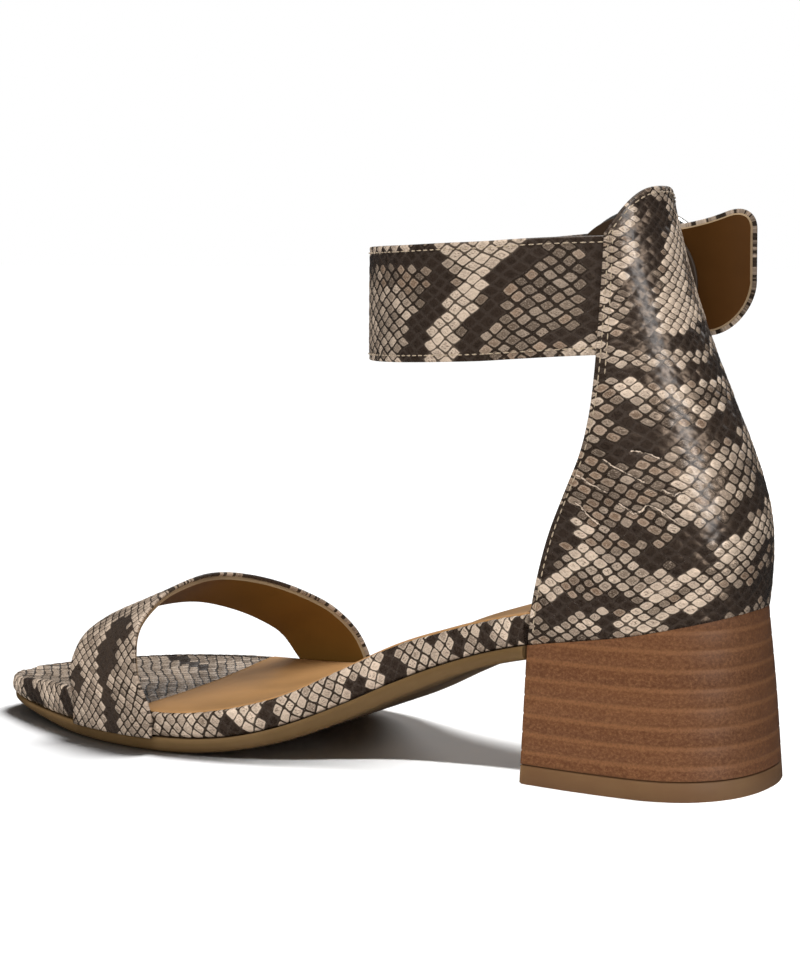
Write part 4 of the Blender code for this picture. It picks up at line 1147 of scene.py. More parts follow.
@dataclass
class SoleShape:
    """Outline and side profile that the sole, the footbed and the straps share."""

    toe_tip: tuple = (237.8, 1.0)
    seat_end: float = 57.5
    side_bulge: float = 0.4
    quarter_wall: float = 2.2
    seat_level: float = 42.0
    breast_level: float = 34.0
    # x, inner edge y, outer edge y
    outline: tuple = (
        (46.0, 25.4, -26.0), (58.0, 25.0, -26.4), (72.0, 23.6, -27.0), (84.0, 22.8, -28.0),
        (93.0, 22.6, -29.2), (101.0, 23.6, -31.0), (112.0, 27.2, -34.2), (125.0, 33.0, -38.2),
        (140.0, 37.6, -41.3), (155.0, 39.8, -43.2), (168.0, 39.8, -43.9), (182.0, 37.4, -43.0),
        (196.0, 32.6, -39.6), (208.0, 27.0, -35.4), (219.0, 21.4, -28.4), (228.0, 16.6, -20.2),
        (234.0, 12.0, -12.2),
    )
    # x, seat z, footbed height inner, footbed height outer, underside z
    profile_rows: tuple = (
        (4.0, 45.4, 6.0, 6.0, 41.0), (17.0, 42.5, 6.2, 6.2, 38.2), (30.0, 39.8, 6.6, 6.6, 35.6),
        (44.0, 37.6, 7.0, 7.0, 33.6), (58.0, 35.3, 7.4, 7.4, 31.5), (72.0, 31.7, 7.7, 7.9, 27.9),
        (84.0, 27.6, 8.2, 8.5, 23.4), (98.6, 21.6, 9.2, 9.4, 17.0), (112.0, 15.2, 9.0, 9.2, 10.6),
        (125.0, 9.8, 7.8, 8.4, 5.4), (139.0, 6.0, 7.2, 8.0, 2.0), (150.0, 4.6, 6.5, 7.8, 0.5),
        (160.0, 4.2, 6.0, 7.7, 0.0), (172.0, 4.1, 6.2, 7.6, 0.0), (186.0, 4.1, 7.2, 7.6, 0.0),
        (198.0, 4.1, 8.2, 7.4, 0.2), (210.0, 4.2, 8.0, 6.9, 0.9), (221.0, 4.5, 6.6, 6.1, 1.8),
        (230.0, 5.2, 4.8, 4.9, 2.7), (240.0, 6.2, 3.6, 3.6, 4.0),
    )
    # z, breast x, breast half width, back x, depth of the round, half width, roundness
    heel_rows: tuple = (
        (0.0, 58.8, 26.4, 1.1, 26.4, 28.7, 2.3),
        (24.0, 57.9, 25.3, 2.5, 27.0, 27.0, 2.25),
        (48.0, 57.0, 24.2, 4.6, 27.7, 25.3, 2.2),
    )

    def edges(self, stations: Array) -> tuple:
        """Inner and outer edge ahead of the heel seat, round at the toe.

        Args:
            stations: Places along x.

        Returns:
            The y of both edges.
        """
        inner = [(x, y) for x, y, _ in self.outline]
        outer = [(x, y) for x, _, y in reversed(self.outline)]
        ring = curve_through(inner + [self.toe_tip] + outer, 1600)
        tip = ring[:, 0].argmax()
        return (
            np.interp(stations, ring[: tip + 1, 0], ring[: tip + 1, 1]),
            np.interp(stations, ring[tip:, 0][::-1], ring[tip:, 1][::-1]),
        )

    def heel_section(self, z: float) -> Array:
        """Sizes of the heel's D outline at one height."""
        rows = np.array(self.heel_rows)
        return smooth_curve(rows[:, 0], rows[:, 1:], z)[0]

    def seat_inset(self) -> float:
        """How far the footbed stands back from the heel's outline, inside the quarter."""
        return self.quarter_wall + FIT_GAP + self.side_bulge

    def footbed_edges(self, stations: Array) -> tuple:
        """Inner and outer edge of the footbed, drawn in where the quarter wraps the heel seat.

        Args:
            stations: Places along x.

        Returns:
            The y of both edges.
        """
        inset = self.seat_inset()
        breast, breast_half, back, depth, half, power = self.heel_section(self.seat_level)
        back, depth, half = back + inset, depth - inset, half - inset
        round_part = np.clip((back + depth - stations) / depth, 0.0, 1.0)
        side_part = np.clip((stations - back - depth) / (breast - back - depth), 0.0, 1.0)
        width = half * (1.0 - round_part**power) ** (1.0 / power)
        width = width - (half - breast_half + inset) * side_part**2
        inner, outer = self.edges(stations)
        seated = stations < self.seat_end
        return np.where(seated, width, inner), np.where(seated, -width, outer)

    def footbed_back(self) -> float:
        """The x of the footbed's back end."""
        return self.heel_section(self.seat_level)[2] + self.seat_inset() + FIT_GAP

    def profile(self, stations: Array) -> tuple:
        """Seat height, inner and outer footbed height and underside at each station."""
        rows = np.array(self.profile_rows)
        seat, inner, outer, under = smooth_curve(rows[:, 0], rows[:, 1:], stations).T
        return seat, inner, outer, np.maximum(under, 0.0)


@dataclass
class Footbed:
    """The wrapped footbed and the tan sock on it."""

    shape: SoleShape
    print_finish: SnakePrint
    stations: int = 330
    side_points: int = 20
    top_points: int = 64
    tuck: float = 0.7
    rim_round: float = 1.6
    dish: float = 1.2
    sock_inset: float = 2.1
    sock_thick: float = 0.8
    sock_skive: float = 0.75
    sock_front_inner: float = 167.6
    sock_front_outer: float = 179.2
    sock_front_half: float = 60.0
    sock_back: float = 1.6
    sock_across: int = 49
    sock_along: int = 150
    # share of the tuck, share of the bulge, share of the height
    side_rows: tuple = (
        (1.0, 0.0, 0.0), (0.0, 0.0, 0.14), (0.0, 1.0, 0.5), (0.0, 0.0, 0.82), (0.5, 0.0, 0.95),
    )

    def top_height(self, x: Array, share: Array) -> tuple:
        """Place of the footbed's dished top.

        Args:
            x: Stations.
            share: Place across, 1 at the inner rim and -1 at the outer rim.

        Returns:
            The y and z there.
        """
        y_in, y_out = self.shape.footbed_edges(x)
        seat, rise_in, rise_out, _ = self.shape.profile(x)
        half = np.maximum(0.5 * (y_in - y_out) - self.rim_round, 0.3)
        depth = self.dish * np.minimum(1.0, half / 15.0)
        low = seat + FIT_GAP
        rim = low + rise_out + (rise_in - rise_out) * 0.5 * (share + 1.0)
        return 0.5 * (y_in + y_out) + share * half, rim - depth * (1.0 - share**2)

    def section(self, x: float) -> Array:
        """Ring of the footbed at one station, from its inner foot over the top to its outer foot.

        Args:
            x: The station.

        Returns:
            The ring's points.
        """
        at = np.array([x])
        y_in, y_out = (float(edge[0]) for edge in self.shape.footbed_edges(at))
        seat, rise_in, rise_out, _ = (float(value[0]) for value in self.shape.profile(at))
        low = seat + FIT_GAP
        tuck = min(self.tuck, 0.2 * (y_in - y_out))
        bulge = self.shape.side_bulge
        shares = np.linspace(1.0, -1.0, self.top_points)
        top = np.stack(self.top_height(np.full(self.top_points, x), shares), 1)
        sides = []
        for edge, sign, rise, over in ((y_in, 1.0, rise_in, top[:3:2]), (y_out, -1.0, rise_out, top[:-4:-2])):
            rows = [
                (edge + sign * (bulge * out - tuck * back), low + rise * up)
                for back, out, up in self.side_rows
            ]
            sides.append(curve_through([*rows, *over], self.side_points + 2)[:-2])
        ring = np.concatenate([sides[0], top, sides[1][::-1]])
        return np.c_[np.full(len(ring), x), ring]

    def build_wrap(self) -> Thing:
        """The footbed in its printed cover, side and top mapped apart."""
        back = self.shape.footbed_back()
        seat_count = self.stations // 4
        turn = 0.5 - 0.5 * np.cos(np.linspace(0.0, math.pi, seat_count))
        even = np.linspace(0.0, 1.0, seat_count)
        seat = back + (self.shape.seat_end - 0.3 - back) * (0.45 * turn + 0.55 * even)
        start, end = self.shape.seat_end + 0.3, self.shape.toe_tip[0] - 0.6
        stations = np.r_[seat, toe_stations(start, end, self.stations - seat_count)]
        rings = np.array([self.section(x) for x in stations])
        side, around = self.side_points, rings.shape[1]
        sides = []
        for foot, way in ((0, 1.0), (-1, -1.0)):
            along = way * run_length(rings[:, foot])[:, None]
            rise = rings[..., 2] - rings[:, [foot], 2]
            sides.append(np.stack(np.broadcast_arrays(along - along[seat_count], rise), -1))
        finish = self.print_finish
        top = rings[..., :2] + (TOP_MAP, 0.0)
        top[..., 0] += finish.slant * top[..., 1]
        maps = [finish.flat_map(flat) for flat in (sides[0], top, sides[1] + (0.0, FAR_MAP))]
        point = np.arange(around)
        region = np.where(point < side, 0, np.where(point >= around - side, 2, 1))
        raised = np.choose(region, [finish.height(flat) for flat in maps])
        raised[:, [0, -1]] = 0.0
        normal = grid_normals(rings)
        middle = rings.mean(axis=1, keepdims=True)
        normal = np.where(np.sum(normal * (rings - middle), -1, keepdims=True) < 0.0, -normal, normal)
        rings = rings + normal * raised[..., None]
        thing = loft("footbed_wrap", rings, [finish.material()], sharp=60.0)
        mesh = thing.data
        corners, faces = corner_numbers(mesh)
        step = np.where(faces < (len(rings) - 1) * around, faces % around, 0)
        kind = np.where(step < side, 0, np.where(step >= around - side - 1, 2, 1))
        flat = np.choose(kind[:, None], [one.reshape(-1, 2)[corners] for one in maps])
        store_print(mesh, flat, finish)
        return thing

    def build_sock(self, leather: SmoothLeather) -> Thing:
        """The tan sock, thinned towards its sides and cut off on a slant across the ball.

        Args:
            leather: The sock's finish.

        Returns:
            The finished object.
        """
        start = self.shape.footbed_back() + self.sock_back
        slope = (self.sock_front_outer - self.sock_front_inner) / (2.0 * self.sock_front_half)
        stretch = np.linspace(0.0, 1.0, self.sock_along)
        stretch = 0.8 * stretch + 0.2 * (1.0 - np.cos(stretch * math.pi / 2))
        grid = []
        for share in np.linspace(1.0, -1.0, self.sock_across):
            front = 0.5 * (self.sock_front_inner + self.sock_front_outer)
            for _ in range(8):
                y_front = self.top_height(np.array([front]), share)[0][0]
                front = self.sock_front_inner + (self.sock_front_half - y_front) * slope
            x = start + (front - start) * stretch
            y, z = self.top_height(x, share)
            y = y - math.copysign(self.sock_inset - self.rim_round, share) * abs(share) ** 4
            skived = self.sock_thick - self.sock_skive * abs(share) ** 10
            grid.append(np.stack([x, y, z + FIT_GAP + skived], 1))
        grid = np.array(grid)
        sheet = Panel("tan_sock", grid, grid[..., :2], self.sock_thick, outward=-1, lined=False)
        tan = leather.material()
        return sheet.mesh(None, (tan, tan, tan))


@dataclass
class Outsole:
    """The moulded sole from the heel's breast to the toe."""

    shape: SoleShape
    margin: float = 0.8
    tuck: float = 2.6
    toe_setback: float = 1.8
    setback_start: float = 190.0
    stations: int = 190
    side_points: int = 14
    # share of the tuck, share of the height
    side_rows: tuple = ((1.0, 0.0), (0.45, 0.10), (0.12, 0.30), (0.0, 0.55), (0.0, 0.88), (0.15, 1.0))

    def build(self, rubber: SoleRubber) -> Thing:
        """The sole as one closed piece.

        Args:
            rubber: The sole's finish.

        Returns:
            The finished object.
        """
        start = self.shape.heel_section(self.shape.breast_level)[0] + FIT_GAP
        stations = toe_stations(start, self.shape.toe_tip[0] - 0.3, self.stations)
        rings = []
        edges = self.shape.edges(stations)
        top, _, _, low = self.shape.profile(stations)
        for x, y_in, y_out, high, under in zip(stations, *edges, top, low):
            toe = max((x - self.setback_start) / (self.shape.toe_tip[0] - self.setback_start), 0.0)
            reach = self.margin - self.toe_setback * toe**2
            tuck = min(self.tuck, 0.2 * (y_in - y_out))
            side = [(reach - tuck * back, under + (high - under) * up) for back, up in self.side_rows]
            out, z = curve_through(side, self.side_points).T
            ring = np.c_[np.r_[y_in + out, (y_out - out)[::-1]], np.r_[z, z[::-1]]]
            rings.append(np.c_[np.full(len(ring), x), ring])
        return loft("outsole_body", rings, [rubber.material()], sharp=40.0)


@dataclass
class BlockHeel:
    """The stacked block heel and its tread plate."""

    shape: SoleShape
    layer: float = 4.73
    first_line: float = 8.7
    lines: int = 8
    groove_deep: float = 0.10
    groove_tall: float = 0.9
    top: float = 50.0
    lift: float = 5.0
    corner: float = 1.0
    seat_slope: float = 0.22
    cut_size: tuple = (60.0, 60.0)
    cut_range: tuple = (-11.0, 70.0)
    cut_steps: int = 60
    round_points: int = 73
    side_points: int = 15
    corner_points: int = 6
    face_points: int = 12
    # share of the groove's height, share of its depth
    groove_rows: tuple = ((-0.5, 0.0), (-0.25, 0.75), (0.0, 1.0), (0.25, 0.75), (0.5, 0.0))

    def outline(self, z: float, inset: float = 0.0) -> Array:
        """The heel's D outline at one height, drawn in by an inset.

        Args:
            z: The height.
            inset: How far it is drawn in.

        Returns:
            The outline's points.
        """
        breast, breast_half, back, depth, half, power = self.shape.heel_section(z)
        back, depth = back + inset, depth - inset
        half, breast_half, breast = half - inset, breast_half - inset, breast - inset
        turn = np.linspace(-math.pi / 2, math.pi / 2, self.round_points)
        round_x = back + depth - depth * np.abs(np.cos(turn)) ** (2.0 / power)
        round_y = half * np.sign(np.sin(turn)) * np.abs(np.sin(turn)) ** (2.0 / power)
        share = np.linspace(0.0, 1.0, self.side_points)[1:]
        side_x = back + depth + (breast - self.corner - back - depth) * share
        side_y = half - (half - breast_half) * share**2
        bend = np.radians(np.linspace(0.0, 90.0, self.corner_points))[1:]
        corner_x = breast - self.corner + self.corner * np.sin(bend)
        corner_y = side_y[-1] - self.corner + self.corner * np.cos(bend)
        face = np.linspace(1.0, -1.0, self.face_points)[1:-1] * corner_y[-1]
        x = np.r_[round_x, side_x, corner_x, np.full(len(face), breast), corner_x[::-1], side_x[::-1]]
        y = np.r_[round_y, side_y, corner_y, face, -corner_y[::-1], -side_y[::-1]]
        return np.stack([x, y, np.full(len(x), z)], 1)

    def build_block(self, stack: StackedLeather) -> Thing:
        """The block, grooved at each layer and cut to the seat.

        Args:
            stack: The block's finish.

        Returns:
            The finished object.
        """
        levels = [(self.lift + FIT_GAP, 0.0)]
        for number in range(self.lines):
            z = self.first_line + number * self.layer
            for step, deep in self.groove_rows:
                levels.append((z + step * self.groove_tall, deep * self.groove_deep))
        levels.append((self.top, 0.0))
        block = loft("heel_stack", [self.outline(*level) for level in levels], [stack.material()], sharp=60.0)
        stations = np.linspace(*self.cut_range, self.cut_steps)
        behind = np.maximum(self.shape.profile_rows[0][0] - stations, 0.0)
        seat = self.shape.profile(stations)[0] + behind * self.seat_slope
        wide, tall = self.cut_size
        corners = ((-wide, 0.0), (wide, 0.0), (wide, tall), (-wide, tall))
        slab = [[(x, y, z + rise) for y, rise in corners] for x, z in zip(stations, seat)]
        cut_or_join(block, loft("seat_cut", slab), "DIFFERENCE")
        block.data.set_sharp_from_angle(angle=math.radians(55.0))
        return block

    def build_lift(self, rubber: SoleRubber) -> Thing:
        """The tread plate."""
        levels = [(0.0, 0.5), (0.12, 0.22), (0.5, 0.0), (self.lift - 0.3, 0.0), (self.lift, 0.25)]
        return loft("heel_lift", [self.outline(*level) for level in levels], [rubber.material()], sharp=60.0)


@dataclass
class Quarter:
    """The closed back of the upper."""

    shape: SoleShape
    print_finish: SnakePrint
    peak: float = 150.4
    drop: float = 11.4
    power: float = 3.0
    columns: int = 221
    rows: int = 181
    levels: int = 121
    level_range: tuple = (30.0, 152.0)
    base_level: float = 40.0
    stitch_margin: float = 1.3
    stitch_gap: float = 2.0
    stitch_from: int = 6
    stitch_short: int = 3
    stitch_side: int = 5
    double_from: int = 118
    # z, back x, depth of the round, half width, front edge x, front half width, roundness
    section_rows: tuple = (
        (34.0, 4.9, 27.4, 25.5, 57.0, 24.6, 2.2), (45.0, 4.2, 27.6, 26.0, 55.6, 25.0, 2.2),
        (55.0, 3.4, 28.0, 26.8, 52.9, 26.2, 2.2), (65.0, 3.4, 28.0, 27.4, 49.4, 27.2, 2.1),
        (75.0, 5.2, 28.0, 27.3, 45.2, 27.3, 2.05), (85.0, 8.6, 27.5, 26.5, 41.3, 26.5, 2.0),
        (95.0, 12.8, 26.5, 25.5, 39.2, 25.5, 2.0), (105.0, 17.0, 25.5, 24.5, 38.4, 24.5, 2.0),
        (115.0, 21.0, 24.5, 23.7, 38.2, 23.7, 2.0), (125.0, 24.6, 23.5, 23.0, 38.2, 23.0, 2.0),
        (135.0, 27.6, 22.5, 22.5, 38.3, 22.5, 2.0), (143.0, 29.6, 21.8, 22.1, 38.5, 22.1, 2.0),
        (152.0, 31.4, 21.0, 21.8, 38.8, 21.8, 2.0),
    )
    crease_deep: float = 0.45
    crease_half: float = 0.9

    def section(self, z: float) -> Array:
        """Outline at one height, from the inner front edge round the back.

        Args:
            z: The height.

        Returns:
            The outline's x and y.
        """
        rows = np.array(self.section_rows)
        back, depth, half, front, front_half, power = smooth_curve(rows[:, 0], rows[:, 1:], z)[0]
        widest = back + depth
        start = math.asin(max((widest - front) / depth, 0.0) ** (power / 2.0))
        turn = np.linspace(start, math.pi / 2, 160)
        x = widest - depth * np.sin(turn) ** (2.0 / power)
        y = half * np.cos(turn) ** (2.0 / power)
        if front > widest:
            share = np.linspace(1.0, 0.0, 40)[:-1]
            x = np.r_[widest + (front - widest) * share, x]
            y = np.r_[half - (half - front_half) * share**2, y]
        side = np.stack([x, y], 1)
        return even_points(np.r_[side, side[::-1][1:] * (1.0, -1.0)], self.columns)

    def grid(self) -> tuple:
        """Outer side of the quarter.

        Returns:
            Points by row and column, and their flat map: u from the middle of the back towards
            the inner side, v up from the floor.
        """
        zs = np.linspace(*self.level_range, self.levels)
        sections = np.array([self.section(z) for z in zs])
        base = self.section(self.base_level)
        low = self.shape.profile(base[:, 0])[0] + FIT_GAP
        high = self.peak - self.drop * np.abs(np.linspace(-1.0, 1.0, self.columns)) ** self.power
        points = np.zeros((self.rows, self.columns, 3))
        for column in range(self.columns):
            z = np.linspace(low[column], high[column], self.rows)
            x, y = (np.interp(z, zs, sections[:, column, axis]) for axis in (0, 1))
            points[:, column] = np.stack([x, y, z], 1)
        middle = self.columns // 2
        run = row_lengths(points[..., :2])
        u = run[:, [middle]] - run
        return points, np.stack([u, points[..., 2]], -1)

    def panel(self) -> Panel:
        """The quarter's sheet with its creases."""
        points, flat = self.grid()
        creases = []
        for way in self.print_finish.wrinkles:
            for step in range(0, len(way) - 2, 2):
                creases.append(Crease(*way[step : step + 4], self.crease_deep, self.crease_half))
        return Panel("quarter_back", points, flat, self.shape.quarter_wall, dents=creases)

    def stitch_lines(self) -> list:
        """Rows of stitches beside both front edges, doubled over the straps, and under the top line."""
        sheet = self.panel()
        last_row, last_column = self.rows - 1, self.columns - 1
        wide = np.linalg.norm(sheet.outer[:, 1] - sheet.outer[:, 0], axis=-1)
        tall = np.linalg.norm(sheet.outer[-1] - sheet.outer[-2], axis=-1)
        lines = []
        inner_row = self.stitch_margin + self.stitch_gap
        for margin, start in ((self.stitch_margin, self.stitch_from), (inner_row, self.double_from)):
            rows = np.arange(start, last_row - self.stitch_short)
            lines.append(line_on(sheet, rows, margin / wide[rows]))
            lines.append(line_on(sheet, rows, last_column - margin / wide[rows]))
        columns = np.arange(self.stitch_side, self.columns - self.stitch_side)
        lines.append(line_on(sheet, last_row - self.stitch_margin / tall[columns], columns))
        return lines

    def build(self, lining: SmoothLeather, edge: SmoothLeather) -> Thing:
        """The quarter as one lined sheet."""
        return self.panel().dressed(self.print_finish, lining, edge)


@dataclass
class AnkleStrap:
    """The strap round the ankle, from under the quarter's inner edge to the tail on the outer side."""

    print_finish: SnakePrint
    wall: float = 2.0
    columns: int = 430
    rows: int = 53
    tail_corner: float = 11.0
    tail_corner_top: float = 7.5
    lean_fade: float = 12.0
    inset: float = 1.2
    stitch_margin: float = 1.3
    stitch_from: int = 6
    stitch_short: int = 26
    # x, y of the wall's middle, inward lean of the upper edge, z of the middle, width
    path_rows: tuple = (
        (34.6, 15.6, 5.4, 123.9, 28.6), (39.2, 18.4, 5.0, 123.7, 28.6), (48.0, 22.8, 3.6, 123.4, 28.8),
        (57.5, 26.0, 2.6, 122.9, 29.0), (68.0, 27.6, 2.0, 122.2, 29.1), (80.0, 27.0, 1.6, 121.7, 29.2),
        (94.0, 23.0, 1.2, 121.1, 29.2), (105.0, 15.6, 1.0, 120.7, 29.2), (113.3, 5.4, 1.0, 120.5, 29.2),
        (114.6, -6.0, 1.0, 120.7, 29.2), (109.0, -17.0, 0.8, 120.8, 29.3), (99.0, -25.6, 0.6, 121.2, 29.4),
        (87.0, -30.8, 0.2, 121.9, 29.5), (74.0, -33.4, 0.0, 123.0, 29.6), (54.0, -35.25, 0.0, 124.8, 29.7),
        (40.0, -36.5, 0.0, 126.2, 30.1), (35.0, -36.9, 0.0, 127.1, 30.6), (30.0, -37.6, 0.0, 128.5, 31.2),
        (22.9, -39.4, 0.0, 131.1, 32.2),
    )

    def path(self, count: int) -> Array:
        """Route with even steps, its width drawn in at the tail's rounded end.

        Args:
            count: Steps along the strap.

        Returns:
            Rows of x, y, lean, z and width.
        """
        route = curve_through(self.path_rows, 4 * count)
        length = run_length(route[:, :2])
        ends = np.sin(np.linspace(0.0, math.pi / 2, 24))
        tail = self.tail_corner / length[-1]
        even = np.linspace(0.0, 1.0, count)
        share = np.r_[even[even < 1.0 - 1.03 * tail], 1.0 - tail * (1.0 - ends)]
        wanted = share * length[-1]
        route = np.stack([np.interp(wanted, length, column) for column in route.T], 1)
        for corner, side in ((self.tail_corner, 1.0), (self.tail_corner_top, -1.0)):
            left = np.clip(length[-1] - wanted, 0.0, corner)
            rounding = corner - np.sqrt(np.maximum(corner**2 - (corner - left) ** 2, 0.0))
            route[:, 4] -= rounding
            route[:, 3] += 0.5 * side * rounding
        return route

    def band(self, route: Array, rows: int) -> tuple:
        """Middle surface of a strap.

        Args:
            route: Rows of x, y, lean, z and width.
            rows: Points across.

        Returns:
            Points by row and column, and their flat map: u along, v up from the strap's middle.
        """
        share = np.linspace(-0.5, 0.5, rows)[:, None]
        x, y, lean, z, width = route.T
        inward = -np.clip(y / self.lean_fade, -1.0, 1.0)
        points = np.stack(np.broadcast_arrays(x[None], y + inward * lean * share, z + width * share), -1)
        u = np.broadcast_to(run_length(route[:, :2])[None], points.shape[:2])
        return points, np.stack([u, np.broadcast_to(width * share, u.shape)], -1)

    def outer_side(self, route: Array, rows: int) -> tuple:
        """Outer surface of the strap and its flat map."""
        points, flat = self.band(route, rows)
        return points + 0.5 * self.wall * grid_normals(points), flat

    def panel(self) -> Panel:
        """The strap's sheet, pressed in along its stitches."""
        points, flat = self.outer_side(self.path(self.columns), self.rows)
        seam = 0.5 * float(np.median(flat[-1, :, 1] - flat[0, :, 1])) - self.stitch_margin
        dents = [SeamTrough(seam)]
        return Panel("ankle_strap_band", points, flat, self.wall, -1, inset=self.inset, dents=dents)

    def stitch_lines(self) -> list:
        """Rows of stitches along both edges."""
        sheet = self.panel()
        columns = np.arange(self.stitch_from, sheet.outer.shape[1] - self.stitch_short)
        tall = sheet.flat[-1, :, 1] - sheet.flat[0, :, 1]
        shift = self.stitch_margin / np.interp(columns, np.arange(len(tall)), tall) * (self.rows - 1)
        return [line_on(sheet, shift, columns), line_on(sheet, self.rows - 1 - shift, columns)]

    def build(self, lining: SmoothLeather, edge: SmoothLeather) -> Thing:
        """The strap as one lined sheet."""
        return self.panel().dressed(self.print_finish, lining, edge)


@dataclass
class VampStrap:
    """The band over the toes."""

    shape: SoleShape
    print_finish: SnakePrint
    wall: float = 2.0
    columns: int = 57
    rows: int = 240
    foot_share: float = 0.85
    inner_foot: tuple = (162.2, 193.0)
    outer_foot: tuple = (145.5, 170.5)
    # rear edge x, y, z and front edge x, y, z
    arch_rows: tuple = (
        (168.8, 40.5, 22.0, 195.8, 34.0, 18.5), (171.3, 36.0, 32.2, 195.2, 29.5, 26.8),
        (171.0, 26.0, 39.6, 191.8, 20.5, 32.6), (169.4, 12.0, 43.4, 187.0, 8.0, 35.0),
        (168.8, -3.0, 43.3, 181.8, -6.0, 34.8), (164.3, -14.5, 40.9, 177.0, -17.0, 31.5),
        (158.3, -26.0, 36.2, 173.6, -27.5, 26.8), (152.4, -36.6, 29.3, 172.4, -39.2, 20.1),
        (148.3, -43.4, 20.6, 171.6, -44.8, 14.0),
    )

    def grid(self) -> tuple:
        """Outer side of the band and its flat map: u from the rear edge, v along from the inner foot."""
        stand_off = self.shape.side_bulge + FIT_GAP + self.wall
        rear, front = np.split(np.array(self.arch_rows), 2, axis=1)
        lines = []
        for share in np.linspace(0.0, 1.0, self.columns):
            arch = rear + (front - rear) * share
            feet = []
            for (rear_x, front_x), side in ((self.inner_foot, 0), (self.outer_foot, 1)):
                x = np.array([rear_x + (front_x - rear_x) * share])
                edge = self.shape.edges(x)[side][0] + (stand_off, -stand_off)[side]
                seat, *rises, _ = self.shape.profile(x)
                low = seat[0] + FIT_GAP
                feet.append([(x[0], edge, low), (x[0], edge, low + self.foot_share * rises[side][0])])
            lines.append(curve_through([*feet[0], *arch, *feet[1][::-1]], self.rows))
        points = np.array(lines).transpose(1, 0, 2)
        u = row_lengths(points)
        v = np.broadcast_to(run_length(points[:, self.columns // 2])[:, None], u.shape)
        return points, np.stack([u, v], -1)

    def build(self, lining: SmoothLeather, edge: SmoothLeather) -> Thing:
        """The band as one lined sheet."""
        points, flat = self.grid()
        sheet = Panel("vamp_band", points, flat, self.wall, outward=-1)
        return sheet.dressed(self.print_finish, lining, edge)


